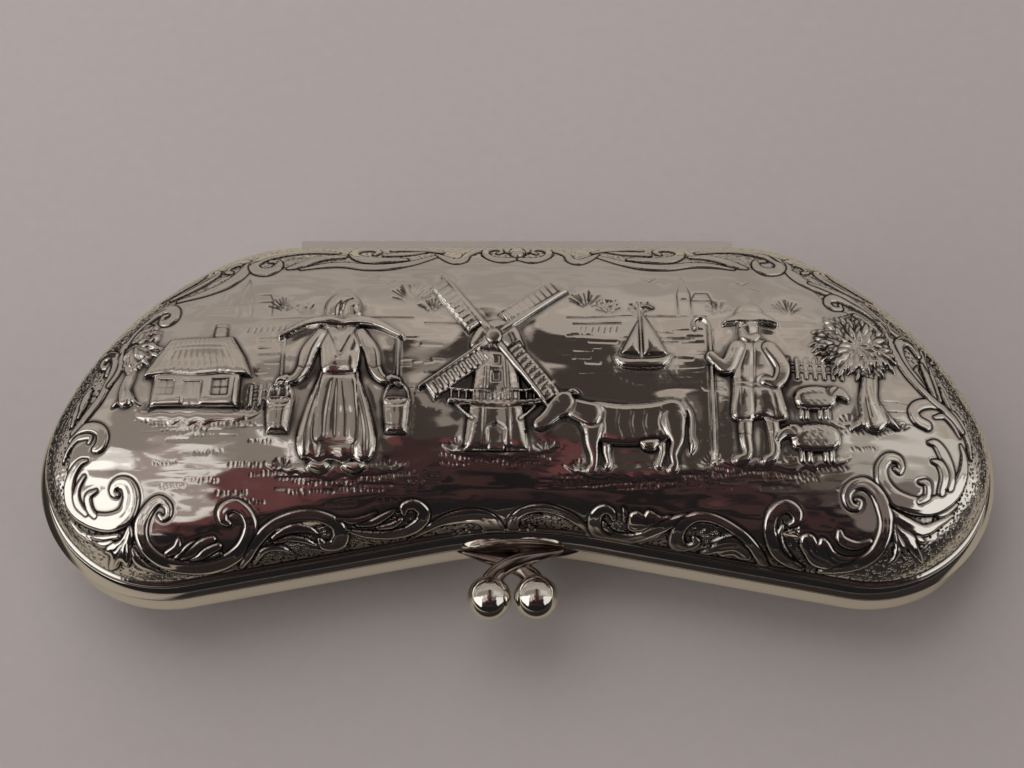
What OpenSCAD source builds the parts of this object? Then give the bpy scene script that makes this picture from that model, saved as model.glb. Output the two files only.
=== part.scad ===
// Kidney-shaped silver spectacle case: two domed shells hinged along the back,
// closed at the front by a kiss lock, which is two balls on crossed sprung arms.
// Millimetres. X runs along the case, -Y is the clasp side, Z is up.
// The origin is in the flat that the case rests on, at the middle of its depth.

/* [Outline] */
// Straight length of the back edge, from the middle to the first corner arc
back_half = 38; // [38:0.5:42]
// Distance of the back edge behind the origin
back_y = 31.8; // [28:0.2:36]
// Radius of the arc that turns off the back edge
corner_r = 29; // [22:0.5:40]
// Angle that the corner arc turns through
corner_turn = 25; // [15:1:35]
// Radius of the long arc down each end
side_r = 53.5; // [44:0.5:70]
// Angle that the side arc turns through
side_turn = 45.5; // [35:0.5:52]
// Radius of the two front lobes
lobe_r = 22.5; // [18:0.5:26]
// Radius of the hollow in the front edge
dip_r = 72; // [50:1:100]
// Angle that each half of the hollow turns through
dip_turn = 10.5; // [7:0.5:12]

/* [Shells] */
// Thickness of the silver sheet
sheet_t = 0.6; // [0.5:0.1:1]
// Height of each dome above its straight wall
dome_h = 10.2; // [7:0.1:14]
// Fullness of the dome: 2 is an ellipse, more is squarer
fullness = 2.3; // [2:0.1:3.2]
// Length of the spine that the domes close on, as a share of the case's length
spine_share = 0.62; // [0.5:0.01:0.72]
// Drop of the spine towards the lobes, at its ends
spine_drop = 6.2; // [3:0.1:9]
// Depth of the flat that the case rests on, measured up into the base dome
foot_cut = 0.6; // [0.4:0.1:1.2]

/* [Relief] */
// Height of the figures above the lid's dome
figure_rise = 0.9; // [0.5:0.05:1.2]

/* [Rims] */
// How far a rim stands out from its shell
rim_out = 2.2; // [1.4:0.1:3]
// Height of the upright band of each rim, beside the seam
rim_band = 1.4; // [0.8:0.1:2.4]
// Radius of each rim's rounded edge
rim_round = 2.0; // [1:0.1:2.2]
// Gap between the two rims when the case is shut
seam = 0.2; // [0.1:0.05:0.5]
// Solder gap between a rim, leaf or plate and what carries it
seat = 0.05; // [0.02:0.01:0.1]

/* [Locating flange] */
// Thickness of the strip that guides the lid shut
flange_t = 0.6; // [0.4:0.1:1]
// Height of the strip above the seam
flange_up = 1.1; // [0.6:0.1:1.6]
// Depth of the strip below the seam
flange_down = 2.4; // [1.6:0.1:3.2]
// Clearance between the strip and the walls
flange_gap = 0.3; // [0.25:0.05:0.5]

/* [Lining] */
// Thickness of the card former
card_t = 0.8; // [0.5:0.1:1.2]
// Thickness of the velvet on the card
velvet_t = 1.1; // [0.8:0.1:2]
// Clearance behind the card, and between card and velvet
lining_gap = 0.3; // [0.25:0.05:0.5]

/* [Hinge] */
// Half the length of the hinge
hinge_half = 38; // [24:1:38]
// Number of knuckles, shared by the two leaves
knuckles = 7; // [5:2:11]
// Radius of a knuckle
knuckle_r = 1.5; // [1.3:0.1:1.8]
// Radius of the hinge pin
pin_r = 0.65; // [0.5:0.05:0.8]
// Radial clearance of the pin in the knuckles
pin_gap = 0.05; // [0.03:0.01:0.08]
// Clearance round and between the knuckles
knuckle_gap = 0.2; // [0.15:0.05:0.3]
// How far the hinge axis lies behind the back edge
axis_back = 0.2; // [0:0.1:0.6]

/* [Kiss lock] */
// Diameter of each ball
ball_d = 7.2; // [6:0.1:8]
// Gap between the balls when the case is shut
ball_gap = 0.3; // [0.2:0.05:0.5]
// Distance of the balls' centres in front of the rim
ball_reach = 8.4; // [7.5:0.1:10]
// Sideways offset of the pair of balls from the middle of the case
ball_shift = -0.8; // [-1.5:0.1:1.5]
// How far the lid's ball sits below the seam, and the base's above it
ball_cross = 0.3; // [0:0.1:0.8]
// Half the length of a clasp plate, tip to tip
plate_half = 10; // [8:0.5:13]
// Height of a clasp plate at its middle
plate_h = 3; // [2.2:0.1:3.4]
// Thickness of a clasp plate
plate_t = 0.9; // [0.6:0.1:1.2]
// Radius of an arm along its length
arm_r = 0.95; // [0.8:0.05:1.1]
// Radius of an arm at its tapered root
arm_root_r = 0.55; // [0.4:0.05:0.8]
// Sideways distance of an arm's root from the middle of the pair
arm_root_x = 7; // [5:0.5:8]
// Height of an arm's root above or below the seam
arm_root_z = 1.4; // [1.3:0.05:1.7]

/* [Hidden] */

silver = "silver";
velvet = "midnightblue";
card = "tan";

// Facets: stations to each quarter turn, and the lifts of the rings, in degrees up each dome
shell_half = 24;
shell_lifts = [0, 12, 24, 36, 50, 64, 78];
lining_half = 14;
lining_lifts = [0, 30, 62];
rim_arc_steps = 4;
relief_half = 12;
relief_lifts = [0, 36, 50, 64, 78];

// Height above everything, where a skin has no floor
no_floor = 1000;

// Heights
rim_h = rim_band + rim_round;
seam_z = rim_h + dome_h - foot_cut;

// Outline: arcs of the right half, each turned through clockwise from the back
turn_side = corner_turn + side_turn;
turn_lobe = 180 + dip_turn;
corner_c = [back_half, back_y - corner_r];
side_c = corner_c - (side_r - corner_r) * [sin(corner_turn), cos(corner_turn)];
lobe_c = side_c + (side_r - lobe_r) * [sin(turn_side), cos(turn_side)];
lobe_end = lobe_c + lobe_r * [sin(turn_lobe), cos(turn_lobe)];
flank = (lobe_end.x - dip_r * sin(dip_turn)) / cos(dip_turn);
flank_end = lobe_end + flank * [-cos(dip_turn), sin(dip_turn)];
dip_c = [0, flank_end.y - dip_r * cos(dip_turn)];
front_y = dip_c.y + dip_r;

function arc_length(r, turn) = r * turn * PI / 180;
function arc_turn(r, length) = length / r * 180 / PI;
function clockwise(c, r, turn) = c + r * [sin(turn), cos(turn)];

corner_len = arc_length(corner_r, corner_turn);
side_len = arc_length(side_r, side_turn);
lobe_back_len = arc_length(lobe_r, 90 - turn_side);
lobe_front_len = arc_length(lobe_r, turn_lobe - 90);
dip_len = arc_length(dip_r, dip_turn);
back_len = back_half + corner_len + side_len + lobe_back_len;
front_len = dip_len + flank + lobe_front_len;

// Point of the right half's back edge, u along it from the middle, drawn in by inset
function back_point(u, inset) =
    u <= back_half ? [u, back_y - inset]
    : u <= back_half + corner_len
        ? clockwise(corner_c, corner_r - inset, arc_turn(corner_r, u - back_half))
    : u <= back_half + corner_len + side_len
        ? clockwise(side_c, side_r - inset,
                    corner_turn + arc_turn(side_r, u - back_half - corner_len))
    : clockwise(lobe_c, lobe_r - inset,
                turn_side + arc_turn(lobe_r, u - back_half - corner_len - side_len));

// Point of the right half's front edge, u along it from the middle, drawn in by inset
function front_point(u, inset) =
    u <= dip_len ? clockwise(dip_c, dip_r + inset, arc_turn(dip_r, u))
    : u <= dip_len + flank
        ? flank_end + (u - dip_len) * [cos(dip_turn), -sin(dip_turn)]
          + inset * [sin(dip_turn), cos(dip_turn)]
    : clockwise(lobe_c, lobe_r - inset,
                turn_lobe - arc_turn(lobe_r, u - dip_len - flank));

// The spine lies midway between front and back, and drops towards the lobes
spine_mid = (back_y + front_y) / 2;
case_half = lobe_c.x + lobe_r;

function edge_point(share, inset, is_front) =
    is_front ? front_point(share * front_len, inset) : back_point(share * back_len, inset);
function spine_point(share) =
    let (mean_x = (edge_point(share, 0, true).x + edge_point(share, 0, false).x) / 2,
         along = mean_x / case_half)
    [spine_share * mean_x, spine_mid - spine_drop * along * along];

// Stations round the case are counted clockwise from the middle of the back,
// with "half" of them to each quarter turn. Each gives a side and a share of it.
function station_right(i, half) = i <= 2 * half;
function station_front(i, half) = i > half && i < 3 * half;
function station_share(i, half) =
    let (j = i <= 2 * half ? i : 4 * half - i) (j <= half ? j : 2 * half - j) / half;
function to_side(p, right) = right ? p : [-p.x, p.y];

function wall_at(i, half, inset) =
    to_side(edge_point(station_share(i, half), inset, station_front(i, half)),
            station_right(i, half));
function spine_at(i, half) =
    to_side(spine_point(station_share(i, half)), station_right(i, half));

function dome_in(lift) = 1 - pow(cos(lift), 2 / fullness);
function dome_up(lift) = pow(sin(lift), 2 / fullness);

// One surface of a domed skin: a straight wall, dome rings at the given lifts, and a spine row.
// The edge lies at height foot, the wall ends at rim_h, and the crown is crown above that.
function skin_points(half, inset, foot, crown, lifts, floor_at) = concat(
    [for (i = [0 : 4 * half - 1]) concat(wall_at(i, half, inset), foot)],
    [for (lift = lifts) for (i = [0 : 4 * half - 1])
        let (w = wall_at(i, half, inset), s = spine_at(i, half), p = w + (s - w) * dome_in(lift))
        [p.x, p.y, min(rim_h + crown * dome_up(lift), floor_at)]],
    [for (i = [half : 3 * half])
        let (s = spine_at(i, half)) [s.x, s.y, min(rim_h + crown, floor_at)]]
);

// Row of the spine point that a station's cross-section ends on
function spine_row(i, half) =
    let (j = i % (4 * half)) j < half ? 2 * half - j - half : j > 3 * half ? 5 * half - j : j - half;

function skin_faces(half, rings, first, outward) =
    let (n = 4 * half, top = first + rings * n)
    [for (k = [0 : rings - 1]) for (i = [0 : n - 1])
        let (a = first + k * n + i, b = first + k * n + (i + 1) % n,
             c = k < rings - 1 ? b + n : top + spine_row(i + 1, half),
             d = k < rings - 1 ? a + n : top + spine_row(i, half))
        for (t = c == d ? [[a, b, c]] : [[a, b, c], [a, c, d]])
            outward ? t : [t[2], t[1], t[0]]];

// A domed skin of even thickness, open at its edge. Its walls stand at inset and inset + t.
module domed_skin(half, lifts, inset, t, foot, crown, floor_at = no_floor) {
    rings = len(lifts) + 1;
    outer = skin_points(half, inset, foot, crown, lifts, floor_at);
    inner = skin_points(half, inset + t, foot, crown - t, lifts, floor_at - t);
    n = 4 * half;
    edge = [for (i = [0 : n - 1]) let (j = (i + 1) % n, o = len(outer))
        for (q = [[i, i + o, j + o], [i, j + o, j]]) q];
    polyhedron(
        concat(outer, inner),
        concat(skin_faces(half, rings, 0, true), skin_faces(half, rings, len(outer), false), edge),
        convexity = 4
    );
}

// Rim: an upright band with a rounded upper edge, over the foot of a shell.
// Each point of its section is its distance inside the outline, and its height.
rim_section = concat(
    [[0, seam / 2]],
    [for (lift = [0 : 90 / rim_arc_steps : 90])
        [rim_round * (1 - cos(lift)), rim_band + rim_round * sin(lift)]],
    [[rim_out - seat, rim_h], [rim_out - seat, seam / 2]]
);

// The rim runs from one end of the hinge, round the front, to the other end. Beyond the hinge
// it turns at the same stations as the shell, so that it fits the shell's wall.
rim_start = hinge_half + knuckle_gap;
rim_first = floor(rim_start / back_len * shell_half) + 1;

module rim() {
    sides = len(rim_section);
    rows = concat(
        [[for (p = rim_section) concat(back_point(rim_start, p.x), p.y)]],
        [for (i = [rim_first : 4 * shell_half - rim_first])
            [for (p = rim_section) concat(wall_at(i, shell_half, p.x), p.y)]],
        [[for (p = rim_section) concat(to_side(back_point(rim_start, p.x), false), p.y)]]
    );
    last = (len(rows) - 1) * sides;
    polyhedron(
        [for (row = rows) for (p = row) p],
        concat(
            [for (k = [0 : len(rows) - 2]) for (a = [0 : sides - 1])
                let (b = (a + 1) % sides, lo = k * sides, hi = lo + sides)
                for (q = [[lo + a, hi + b, hi + a], [lo + a, lo + b, hi + b]]) q],
            [[for (a = [0 : sides - 1]) sides - 1 - a]],
            [[for (a = [0 : sides - 1]) last + a]]
        ),
        convexity = 6
    );
}

// Everything is modelled for the lid, seam at zero. The base is the same, upside down.
module as_lid() { translate([0, 0, seam_z]) children(); }
module as_base() { translate([0, 0, seam_z]) mirror([0, 0, 1]) children(); }

card_inset = rim_out + sheet_t + lining_gap;
card_crown = dome_h - sheet_t - lining_gap;
velvet_inset = card_inset + card_t + lining_gap;
velvet_crown = card_crown - card_t - lining_gap;
lid_lining_foot = flange_up + lining_gap;
base_lining_foot = flange_down + lining_gap;
base_floor = seam_z - sheet_t - lining_gap;

module shell() {
    domed_skin(shell_half, shell_lifts, rim_out, sheet_t, seam / 2, dome_h);
}

// Relief: plan silhouettes that are raised from the lid's dome. A figure stands on its own y = 0.
module both_sides() { children(); mirror([1, 0]) children(); }
module leg(x, top, half_width, foot = 0) {
    polygon([
        [x - half_width, top], [x - half_width * 0.7, 0], [x + half_width * 0.7 + foot, 0],
        [x + half_width * 0.8, top * 0.3], [x + half_width, top],
    ]);
}

module milkmaid() {
    polygon([
        [-5.4, 0.6], [-6.1, 5], [-2.7, 16.6], [-3.6, 22.4], [-2, 24.4], [-2.9, 27], [-1.6, 29.6],
        [1.6, 29.6], [2.9, 27], [2, 24.4], [3.6, 22.4], [2.7, 16.6], [6.1, 5], [5.4, 0.6],
    ]);
    both_sides() polygon([
        [0, 25.2], [5.6, 24.9], [9.8, 22.5], [9.7, 14], [11.6, 10.6], [11, 5.6], [7.6, 5.6], [7, 10.6],
        [8.4, 13.6], [4.4, 17], [3, 21], [5.2, 20.6], [7.4, 15.6], [8.9, 15.4], [9, 21.6], [5.4, 23.7],
    ]);
}

module windmill() {
    polygon([
        [-5.2, 0], [-4.2, 7.8], [-7.4, 7.8], [-7.4, 9.4], [-3.9, 9.4], [-3.2, 17], [-3.8, 19],
        [-2, 21.2], [0.6, 21.8], [4, 18.6], [3.2, 17], [3.9, 9.4], [7.4, 9.4], [7.4, 7.8], [4.2, 7.8],
        [5.2, 0],
    ]);
    for (turn = [36 : 90 : 306]) translate([-0.4, 18.8]) rotate(turn)
        polygon([[0, -0.4], [14.4, -0.4], [13.8, 2.9], [3.2, 2.9], [3.2, 0.4], [0, 0.4]]);
}

module cow() {
    polygon([
        [-7.4, 5.6], [-10, 8.2], [-13.6, 6.4], [-14.9, 7.4], [-12.6, 10.6], [-10.6, 12.2], [-5.8, 10.8],
        [-1, 10.4], [7.2, 11.1], [9, 9.6], [8.4, 5], [0, 3.8],
    ]);
    for (x = [-5.7, -3.3, 4.9, 7.3]) leg(x, 6, 0.9);
}

module shepherd() {
    polygon([
        [-3.8, 7.2], [-3.4, 14.6], [-6.6, 16.4], [-6.4, 18.4], [-4.4, 17.6], [-3, 20], [-1.8, 20.8],
        [-2, 23.2], [-4.4, 23.6], [-1.9, 25], [-1.6, 26.8], [0.3, 27.4], [2.1, 26.8], [2.4, 25],
        [4.6, 23.6], [2.1, 23.2], [1.8, 20.8], [3.1, 20], [5.6, 15.6], [4.4, 11.4], [4.9, 7.2],
    ]);
    leg(-1.8, 8, 1.1, -1.2);
    leg(2.4, 8, 1.1, -1.2);
    polygon([
        [-7, 0], [-6.5, 0], [-6.2, 23.4], [-7.6, 25.1], [-9.2, 24.4], [-8.7, 23.6], [-7.6, 24.2],
        [-6.9, 23],
    ]);
}

module sheep() {
    polygon([
        [-3, 2], [-3.6, 3.6], [-5.6, 3], [-5, 4.6], [-3.4, 5.8], [1.6, 6], [4, 4.6], [4, 2.8],
        [2.6, 1.6],
    ]);
    for (x = [-1.3, 2.3]) leg(x, 3, 1);
}

module cottage() {
    polygon([
        [-7, 0], [-7, 5.4], [-8.8, 5.4], [-5.2, 12.2], [2, 12.2], [2, 15], [4, 15], [4, 12.2],
        [5.2, 12.2], [8.8, 5.4], [7, 5.4], [7, 0],
    ]);
}

// A tree: a trunk, and a crown whose middle is "up" above the roots
module tree(up, trunk, crown) {
    polygon([
        [-2 * trunk, 0], [-trunk, 3 * trunk], [-trunk, up], [trunk, up], [trunk, 3 * trunk],
        [2 * trunk, 0],
    ]);
    translate([-trunk, up])
        polygon([for (turn = [0 : 36 : 324]) [crown.x * cos(turn), crown.y * sin(turn)]]);
}

module figures() {
    translate([-28.6, -13.4]) milkmaid();
    translate([-3.4, -10.4]) windmill();
    translate([17.6, -13.4]) cow();
    translate([37.8, -12.6]) shepherd();
    translate([47.4, -5.4]) mirror([1, 0]) sheep();
    translate([46.6, -12.4]) sheep();
    translate([-51.4, -3.6]) cottage();
    translate([56.4, -6.4]) tree(13.8, 1.2, [7.2, 5.8]);
    translate([-62.6, -2.6]) tree(10.8, 0.8, [3.9, 4]);
}

// The silhouettes, raised from halfway through the sheet to "rise" above its outer surface
module raised(rise) {
    intersection() {
        domed_skin(relief_half, relief_lifts, rim_out - rise, rise + sheet_t / 2, seam / 2,
                   dome_h + rise);
        linear_extrude(dome_h + 2 * rim_h) children();
    }
}

module lid_shell() {
    color(silver) as_lid() {
        shell();
        raised(figure_rise) figures();
    }
}

module base_shell() {
    color(silver) difference() {
        as_base() shell();
        translate([-case_half, -case_half, -dome_h]) cube([2 * case_half, 2 * case_half, dome_h]);
    }
}

module lid_rim() { color(silver) as_lid() rim(); }
module base_rim() { color(silver) as_base() rim(); }

module outline_inside(inset) {
    polygon([for (i = [0 : 4 * shell_half - 1]) wall_at(i, shell_half, inset)]);
}

module locating_flange() {
    inset = rim_out + sheet_t + flange_gap;
    color(silver) as_lid() translate([0, 0, -flange_down])
        linear_extrude(flange_up + flange_down) difference() {
            outline_inside(inset);
            outline_inside(inset + flange_t);
        }
}

module liner_card(foot, floor_at) {
    color(card) domed_skin(lining_half, lining_lifts, card_inset, card_t, foot, card_crown, floor_at);
}
module lid_liner_card() { as_lid() liner_card(lid_lining_foot, no_floor); }
module base_liner_card() { as_base() liner_card(base_lining_foot, base_floor); }

module lining(foot, floor_at) {
    color(velvet)
        domed_skin(lining_half, lining_lifts, velvet_inset, velvet_t, foot, velvet_crown, floor_at);
}
module lid_lining() { as_lid() lining(lid_lining_foot, no_floor); }
module base_lining() { as_base() lining(base_lining_foot, base_floor - card_t - lining_gap); }

// Hinge
axis_y = back_y + axis_back;
groove_r = knuckle_r + knuckle_gap;
web_in = knuckle_r / 3;
web_h = knuckle_r * 0.9 - seam / 2;
pitch = 2 * hinge_half / knuckles;

module along_x(from, length) {
    translate([from, axis_y, 0]) rotate([90, 0, 90]) linear_extrude(length) children();
}

module knuckle_stretches(first) {
    for (i = [first : 2 : knuckles - 1])
        along_x(-hinge_half + i * pitch + (i > 0 ? knuckle_gap / 2 : 0),
                pitch - (i > 0 ? knuckle_gap / 2 : 0) - (i < knuckles - 1 ? knuckle_gap / 2 : 0))
            children();
}

// A leaf: a grooved bar along the back wall, with every second knuckle, from knuckle "first" on
module hinge_leaf(first) {
    bar_y = back_y - rim_out + seat - axis_y;
    difference() {
        union() {
            difference() {
                along_x(-hinge_half, 2 * hinge_half)
                    translate([bar_y, seam / 2]) square([rim_out - seat, rim_h - seam / 2]);
                along_x(-hinge_half - 1, 2 * hinge_half + 2) circle(groove_r, $fn = 64);
            }
            knuckle_stretches(first) {
                circle(knuckle_r, $fn = 64);
                translate([-groove_r, seam / 2]) square([groove_r - web_in, web_h]);
            }
        }
        along_x(-hinge_half - 1, 2 * hinge_half + 2) circle(pin_r + pin_gap, $fn = 64);
    }
}
module lid_hinge_leaf() { color(silver) as_lid() hinge_leaf(1); }
module base_hinge_leaf() { color(silver) as_base() hinge_leaf(0); }
module hinge_pin() {
    color(silver) as_lid() along_x(-hinge_half, 2 * hinge_half) circle(pin_r, $fn = 64);
}

// Kiss lock
plate_r = (plate_half * plate_half + plate_h * plate_h) / (2 * plate_h);

module clasp_plate() {
    intersection() {
        translate([dip_c.x, dip_c.y, 0]) difference() {
            cylinder(h = plate_h, r = dip_r - seat, $fn = 180);
            translate([0, 0, -1]) cylinder(h = plate_h + 2, r = plate_face_r, $fn = 180);
        }
        translate([0, front_y + 1, plate_h - plate_r]) rotate([90, 0, 0])
            cylinder(h = plate_t + 6, r = plate_r, $fn = 180);
        translate([-plate_half, front_y - plate_t - 6, seam / 2])
            cube([2 * plate_half, plate_t + 8, plate_h]);
    }
}

// An arm grows out of its plate on one side, crosses the middle and turns forward into its ball.
// across is 1 for the arm that runs from +X to -X, and -1 for the other.
ball_r = ball_d / 2;
ball_half_gap = (ball_d + ball_gap) / 2;
plate_face_r = dip_r - seat - plate_t;
arm_steps = 12;
arm_sides = 10;

function ball_centre(across) = [-across * ball_half_gap, front_y - ball_reach, -ball_cross];
function on_plate(x) = dip_c.y + sqrt(plate_face_r * plate_face_r - x * x);

function bezier(p, t) =
    pow(1 - t, 3) * p[0] + 3 * t * pow(1 - t, 2) * p[1] + 3 * t * t * (1 - t) * p[2] + pow(t, 3) * p[3];
function arm_controls(across) =
    let (root = [across * arm_root_x, on_plate(arm_root_x), arm_root_z], tip = ball_centre(across))
    [
        root,
        root + [-across * arm_root_x * 0.9, -arm_r * 0.9, 0.3],
        tip + [across * 0.8, ball_r + 2.2, 2],
        tip + [0, ball_r * 0.6, 0.5],
    ];
function unit(v) = v / norm(v);
function arm_rings(across) =
    let (p = arm_controls(across))
    [for (k = [0 : arm_steps])
        let (t = k / arm_steps,
             at = bezier(p, t),
             ahead = unit(bezier(p, min(t + 0.02, 1)) - bezier(p, max(t - 0.02, 0))),
             side = unit(cross(ahead, [0, 0, 1])),
             up = cross(side, ahead),
             r = arm_root_r + (arm_r - arm_root_r) * sin(90 * min(1, 2.5 * t)))
        [for (a = [0 : arm_sides - 1])
            at + r * (cos(360 * a / arm_sides) * side + sin(360 * a / arm_sides) * up)]];

module arm_sweep(across) {
    rings = arm_rings(across);
    last = arm_steps * arm_sides;
    polyhedron(
        [for (ring = rings) for (p = ring) p],
        concat(
            [for (k = [0 : arm_steps - 1]) for (a = [0 : arm_sides - 1])
                let (b = (a + 1) % arm_sides, lo = k * arm_sides, hi = lo + arm_sides)
                for (q = [[lo + a, hi + a, hi + b], [lo + a, hi + b, lo + b]]) q],
            [[for (a = [0 : arm_sides - 1]) a]],
            [[for (a = [0 : arm_sides - 1]) last + arm_sides - 1 - a]]
        )
    );
}

// The arm is fitted to the plate's face at its root and to the ball at its tip
module clasp_arm(across) {
    difference() {
        intersection() {
            translate([ball_shift, 0, 0]) arm_sweep(across);
            translate([dip_c.x, dip_c.y, -plate_h])
                cylinder(h = 3 * plate_h, r = plate_face_r - seat, $fn = 180);
        }
        translate([ball_shift, 0, 0] + ball_centre(across)) sphere(ball_r + seat, $fn = 60);
    }
}

module clasp_ball(across) {
    translate([ball_shift, 0, 0] + ball_centre(across)) sphere(ball_r, $fn = 60);
}

module lid_clasp_plate() { color(silver) as_lid() clasp_plate(); }
module base_clasp_plate() { color(silver) as_base() clasp_plate(); }
module lid_clasp_arm() { color(silver) as_lid() clasp_arm(1); }
module base_clasp_arm() { color(silver) as_base() clasp_arm(-1); }
module lid_clasp_ball() { color(silver) as_lid() clasp_ball(1); }
module base_clasp_ball() { color(silver) as_base() clasp_ball(-1); }

base_shell();
base_rim();
locating_flange();
base_liner_card();
base_lining();
base_hinge_leaf();
hinge_pin();
base_clasp_plate();
base_clasp_arm();
base_clasp_ball();
lid_shell();
lid_rim();
lid_liner_card();
lid_lining();
lid_hinge_leaf();
lid_clasp_plate();
lid_clasp_arm();
lid_clasp_ball();
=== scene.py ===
"""A kidney-shaped spectacle case of chased and oxidised silver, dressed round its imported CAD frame.

Lengths in the tables are millimetres, in the frame's own axes: X along the case, -Y the clasp side,
Z up. The chasing is drawn in a laid-flat plan of the lid, whose points lie as far from the crest as
the same points on the dome, and is then raised from the dome along its normals.
"""
import math

import bmesh
import bpy
import numpy as np
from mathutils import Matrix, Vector


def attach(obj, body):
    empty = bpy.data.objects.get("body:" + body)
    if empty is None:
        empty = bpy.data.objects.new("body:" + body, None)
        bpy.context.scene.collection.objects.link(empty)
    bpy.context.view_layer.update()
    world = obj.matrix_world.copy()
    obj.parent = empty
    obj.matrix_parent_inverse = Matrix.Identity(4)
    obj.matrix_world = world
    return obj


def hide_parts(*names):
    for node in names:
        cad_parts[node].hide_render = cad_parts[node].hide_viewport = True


MM = 0.001

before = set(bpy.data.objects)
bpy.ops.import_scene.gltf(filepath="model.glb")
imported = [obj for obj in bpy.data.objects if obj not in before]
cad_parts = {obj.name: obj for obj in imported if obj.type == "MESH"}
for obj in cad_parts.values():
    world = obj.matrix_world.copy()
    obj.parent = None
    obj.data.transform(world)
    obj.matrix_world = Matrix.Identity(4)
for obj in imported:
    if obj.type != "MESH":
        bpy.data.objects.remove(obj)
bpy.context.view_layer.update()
rng = np.random.default_rng(7)

# Outline, as in the part's source
BACK_HALF, BACK_Y = 38, 31.8
CORNER_R, CORNER_TURN = 29, math.radians(25)
SIDE_R, SIDE_TURN = 53.5, math.radians(45.5)
LOBE_R = 22.5
DIP_R, DIP_TURN = 72, math.radians(10.5)
SPINE_SHARE, SPINE_DROP = 0.62, 6.2
DOME_H, FULLNESS, FOOT_CUT = 10.2, 2.3, 0.6
RIM_OUT, RIM_BAND, RIM_ROUND = 2.2, 1.4, 2.0
# The lid's rim is a slanting bead, lower than the base's upright one, and its dome reaches down to it
LID_RIM_W, LID_RIM_H, BASE_RIM_W = 1.6, 2.1, 0.7
# The lid's sheet flares out where it meets the rim
FLARE, FLARE_FALL = 1.1, 1.5
SEAM, SEAT = 0.2, 0.05
SHEET_T = 0.6
HINGE_HALF, KNUCKLE_GAP = 38, 0.2
BALL_D, BALL_GAP, BALL_REACH, BALL_SHIFT, BALL_CROSS = 7.2, 0.3, 8.4, -0.8, 0.3
PLATE_HALF, PLATE_H, PLATE_T = 10, 2.9, 1.0
ARM_R, ARM_ROOT_X, ARM_ROOT_Z = 0.95, 8.2, 0.5
LINING_INSET, LINING_T, LINING_CROWN = 4.2, 1.1, 8.2
LID_LINING_FOOT, BASE_LINING_FOOT = 1.4, 2.7

RIM_H = RIM_BAND + RIM_ROUND
SEAM_Z = RIM_H + DOME_H - FOOT_CUT


def clockwise(centre, radius, turn):
    return (centre[0] + radius * math.sin(turn), centre[1] + radius * math.cos(turn))


TURN_SIDE = CORNER_TURN + SIDE_TURN
TURN_LOBE = math.pi + DIP_TURN
CORNER_C = (BACK_HALF, BACK_Y - CORNER_R)
SIDE_C = clockwise(CORNER_C, CORNER_R - SIDE_R, CORNER_TURN)
LOBE_C = clockwise(SIDE_C, SIDE_R - LOBE_R, TURN_SIDE)
LOBE_END = clockwise(LOBE_C, LOBE_R, TURN_LOBE)
FLANK = (LOBE_END[0] - DIP_R * math.sin(DIP_TURN)) / math.cos(DIP_TURN)
FLANK_END = (LOBE_END[0] - FLANK * math.cos(DIP_TURN), LOBE_END[1] + FLANK * math.sin(DIP_TURN))
DIP_C = (0, FLANK_END[1] - DIP_R * math.cos(DIP_TURN))
FRONT_Y = DIP_C[1] + DIP_R
CORNER_LEN, SIDE_LEN, DIP_LEN = CORNER_R * CORNER_TURN, SIDE_R * SIDE_TURN, DIP_R * DIP_TURN
BACK_LEN = BACK_HALF + CORNER_LEN + SIDE_LEN + LOBE_R * (math.pi / 2 - TURN_SIDE)
FRONT_LEN = DIP_LEN + FLANK + LOBE_R * (TURN_LOBE - math.pi / 2)
CASE_HALF = LOBE_C[0] + LOBE_R
SPINE_MID = (BACK_Y + FRONT_Y) / 2


def back_point(u, inset):
    if u <= BACK_HALF:
        return (u, BACK_Y - inset)
    u -= BACK_HALF
    if u <= CORNER_LEN:
        return clockwise(CORNER_C, CORNER_R - inset, u / CORNER_R)
    u -= CORNER_LEN
    if u <= SIDE_LEN:
        return clockwise(SIDE_C, SIDE_R - inset, CORNER_TURN + u / SIDE_R)
    return clockwise(LOBE_C, LOBE_R - inset, TURN_SIDE + (u - SIDE_LEN) / LOBE_R)


def front_point(u, inset):
    if u <= DIP_LEN:
        return clockwise(DIP_C, DIP_R + inset, u / DIP_R)
    u -= DIP_LEN
    if u <= FLANK:
        return (FLANK_END[0] + u * math.cos(DIP_TURN) + inset * math.sin(DIP_TURN),
                FLANK_END[1] - u * math.sin(DIP_TURN) + inset * math.cos(DIP_TURN))
    return clockwise(LOBE_C, LOBE_R - inset, TURN_LOBE - (u - FLANK) / LOBE_R)


def stations(half):
    """Side, share along it and front or back of each station, clockwise from the middle of the back."""
    for i in range(4 * half):
        j = i if i <= 2 * half else 4 * half - i
        yield (1 if i <= 2 * half else -1, (j if j <= half else 2 * half - j) / half, half < i < 3 * half)


def walls(half, inset):
    """Plan of the outline drawn in by inset, as an array of points, one to each station."""
    points = []
    for side, share, front in stations(half):
        x, y = front_point(share * FRONT_LEN, inset) if front else back_point(share * BACK_LEN, inset)
        points.append((side * x, y))
    return np.array(points)


def spines(half):
    """The point of the spine that each station's cross-section ends on."""
    points = []
    for side, share, _ in stations(half):
        mean_x = (back_point(share * BACK_LEN, 0)[0] + front_point(share * FRONT_LEN, 0)[0]) / 2
        points.append((side * SPINE_SHARE * mean_x, SPINE_MID - SPINE_DROP * (mean_x / CASE_HALF) ** 2))
    return np.array(points)


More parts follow.
